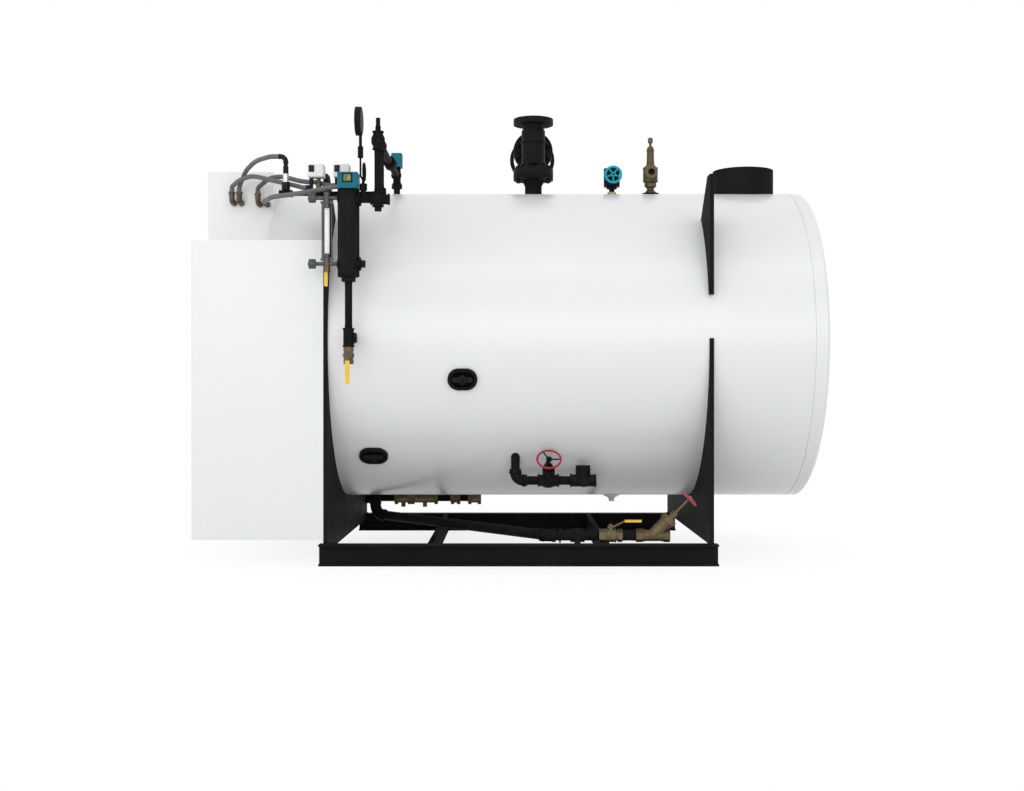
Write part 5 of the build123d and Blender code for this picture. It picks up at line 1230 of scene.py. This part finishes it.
for x, rise in HANDHOLES:
    side = -math.sqrt(SHELL_RADIUS**2 - rise**2)
    outward = Vector((0, side, rise)).normalized()
    face = Vector((x, side, SHELL_AXIS_Z + rise)) + outward * YOKE_NUT_TOP
    gaskets.append((gasket, facing(face - outward * GASKET_DEPTH, up=outward.cross(RIGHT))))
    stud_ends.append((stud_end, stand(face, outward)))
    stud_ends.append((stud_threads, stand(face + outward * 0.001, outward)))
    stud_ends.append((stud_collar, stand(face - outward * 0.0135, outward)))
piece("handhole_studs", stud_ends, "black_casting")
# The gaskets sit down in the handhole and take the painted shade black
piece("handhole_gaskets", gaskets, "painted_shade_black")

# Level box over the crown: cover screws
probe_face = Vector((RISER_X, -0.033, 2.0335))
probe_screws = grown(screw_grid, "teal_enamel", Across=0.041, Down=0.052, Columns=2, Rows=2, Head=0.0026)
piece("probe_screws", [(probe_screws, facing(probe_face))], "teal_enamel")

# Gas train: cover plates on three of the valve bodies, each with four nuts
GAS_COVER_RISE = 0.0335
GAS_NUT_RISE = 0.0012
GAS_COVER_SHARES = (0.095, 0.345, 0.925)
gas_axis = Vector((GAS_START_X, 0.745, 0.196))
gas_nut_sizes = {"Circle": 0.014, "Stud": 0.0022, "Nut": 0.0042, "Height": 0.004}
gas_nuts = grown(nut_ring, "zinc_steel", Count=4, Turn=math.radians(45), **gas_nut_sizes)
gas_cover = stub(0.022, shoulder=0.0, crown=0.02, top=0.0015, foot=-0.01, sides=28)
gas_covers = []
gas_cover_nuts = []
for share in GAS_COVER_SHARES:
    spot = gas_axis + RIGHT * (share * GAS_LENGTH) + UP * GAS_COVER_RISE
    gas_covers.append((gas_cover, stand(spot)))
    gas_cover_nuts.append((gas_nuts, stand(spot + UP * GAS_NUT_RISE)))
piece("gas_covers", gas_covers, "cast_bronze")
piece("gas_cover_nuts", gas_cover_nuts, "zinc_steel")

# Welds: the nozzle on the shell, the plates on the rails, and the cross plates between the rails
WELD_PITCH = 0.0034
PLATE_WELDS = (-0.8885, 0.8885)
PLATE_WELD_START = 0.0255
CROSS_WELDS = (-0.4275, -0.4025, 0.4025, 0.4275)
CROSS_WELD_Y = 0.737
CROSS_WELD_FOOT = 0.011
nozzle_weld = grown(band_row, "black_enamel", Count=1, Radius=0.046, Bead=0.0045)
plate_weld = grown(weld_run, "black_enamel", Count=16, Pitch=WELD_PITCH, Bead=0.0045)
cross_weld = grown(weld_run, "black_enamel", Count=24, Pitch=WELD_PITCH, Bead=0.004)
upright = Matrix.Rotation(math.radians(90), 4, "X")
welds = [(nozzle_weld, stand(Vector((STEAM_X, 0, SHELL_TOP - 0.0005))))]
for side in (-1, 1):
    for x in PLATE_WELDS:
        welds.append((plate_weld, Matrix.Translation((x, side * RAIL_Y - PLATE_WELD_START, RAIL_TOP))))
    for x in CROSS_WELDS:
        foot = Matrix.Translation((x, side * CROSS_WELD_Y, CROSS_WELD_FOOT))
        welds.append((cross_weld, foot @ upright))
piece("weld_beads", welds, "black_enamel")

# Camera at the photograph's place, level
PHOTO_WIDTH = 1024.0
FOCAL_PIXELS = 1250.0
SENSOR_WIDTH = 36.0
camera_data = bpy.data.cameras.new("camera")
camera_data.sensor_width = SENSOR_WIDTH
camera_data.lens = SENSOR_WIDTH * FOCAL_PIXELS / PHOTO_WIDTH
camera = bpy.data.objects.new("camera", camera_data)
camera.location = (-0.031, -6.605, 0.7935)
camera.rotation_euler = (math.radians(90), 0, 0)
bpy.context.scene.collection.objects.link(camera)
bpy.context.scene.camera = camera

# Pale floor, studio lamps and a plain world
FLOOR_HALF = 60.0
FLOOR_GREY = (0.8, 0.8, 0.8, 1)
SHADOW_OVAL = (0.5, 0.6, 1.0)
SHADOW_RANGE = (0.4, 0.9)
WHITE_NEAR_FOOT = 0.82
WORLD_LIGHT = 0.79
LAMP_AIM = Vector((0, 0, 1.0))


def seen_ray(tree):
    """1 for the rays that show a background: straight from the camera, mirrored or through glass."""
    path = add(tree, "ShaderNodeLightPath").outputs
    seen = calc(tree, "MAXIMUM", path["Is Camera Ray"], path["Is Glossy Ray"])
    return calc(tree, "MAXIMUM", seen, path["Is Transmission Ray"])


def make_floor():
    """A pale floor: white where it is seen, with the object's shadow kept near its foot."""
    mesh = bpy.data.meshes.new("floor")
    corners = [(x * FLOOR_HALF, y * FLOOR_HALF, 0) for x, y in ((-1, -1), (1, -1), (1, 1), (-1, 1))]
    mesh.from_pydata(corners, [], [(0, 1, 2, 3)])
    floor = bpy.data.objects.new("floor", mesh)
    bpy.context.scene.collection.objects.link(floor)
    pale = bpy.data.materials.new("pale_floor")
    pale.use_nodes = True
    tree = pale.node_tree
    tree.nodes.clear()
    place = add(tree, "ShaderNodeTexCoord").outputs["Object"]
    oval = add(tree, "ShaderNodeMapping", {"Vector": place, "Scale": SHADOW_OVAL}).outputs[0]
    away = vector_calc(tree, "LENGTH", oval, result="Value")
    white_share = spread(tree, away, *SHADOW_RANGE, WHITE_NEAR_FOOT, 1.0)
    matt = add(tree, "ShaderNodeBsdfDiffuse", {"Color": FLOOR_GREY}).outputs[0]
    glow = add(tree, "ShaderNodeEmission", {"Color": WHITE, "Strength": 1.0}).outputs[0]
    share = calc(tree, "MULTIPLY", seen_ray(tree), white_share)
    mixed = add(tree, "ShaderNodeMixShader", {0: share, 1: matt, 2: glow}).outputs[0]
    join(tree, mixed, add(tree, "ShaderNodeOutputMaterial").inputs["Surface"])
    mesh.materials.append(pale)


def make_world():
    """A white world, a little dimmer as a light than it looks."""
    world = bpy.data.worlds.new("studio")
    bpy.context.scene.world = world
    world.use_nodes = True
    tree = world.node_tree
    tree.nodes.clear()
    strength = between(tree, seen_ray(tree), WORLD_LIGHT, 1.0)
    sky = add(tree, "ShaderNodeBackground", {"Color": WHITE, "Strength": strength}).outputs[0]
    join(tree, sky, add(tree, "ShaderNodeOutputWorld").inputs["Surface"])


def make_lamp(name, place, width, height, power):
    """A flat lamp turned to the boiler's middle."""
    data = bpy.data.lights.new(name, "AREA")
    data.shape = "RECTANGLE"
    data.size = width
    data.size_y = height
    data.energy = power
    lamp = bpy.data.objects.new(name, data)
    lamp.location = place
    lamp.rotation_euler = (LAMP_AIM - Vector(place)).to_track_quat("-Z", "Y").to_euler()
    bpy.context.scene.collection.objects.link(lamp)


make_floor()
make_world()
make_lamp("strip_lamp", (0.4, -4.2, 6.2), width=6.5, height=0.7, power=30)
make_lamp("front_lamp", (0.0, -7.5, 2.5), width=8.0, height=3.0, power=122)
make_lamp("left_lamp", (-6.0, -3.5, 3.5), width=3.0, height=3.0, power=42)
bpy.context.scene.view_settings.view_transform = "Standard"
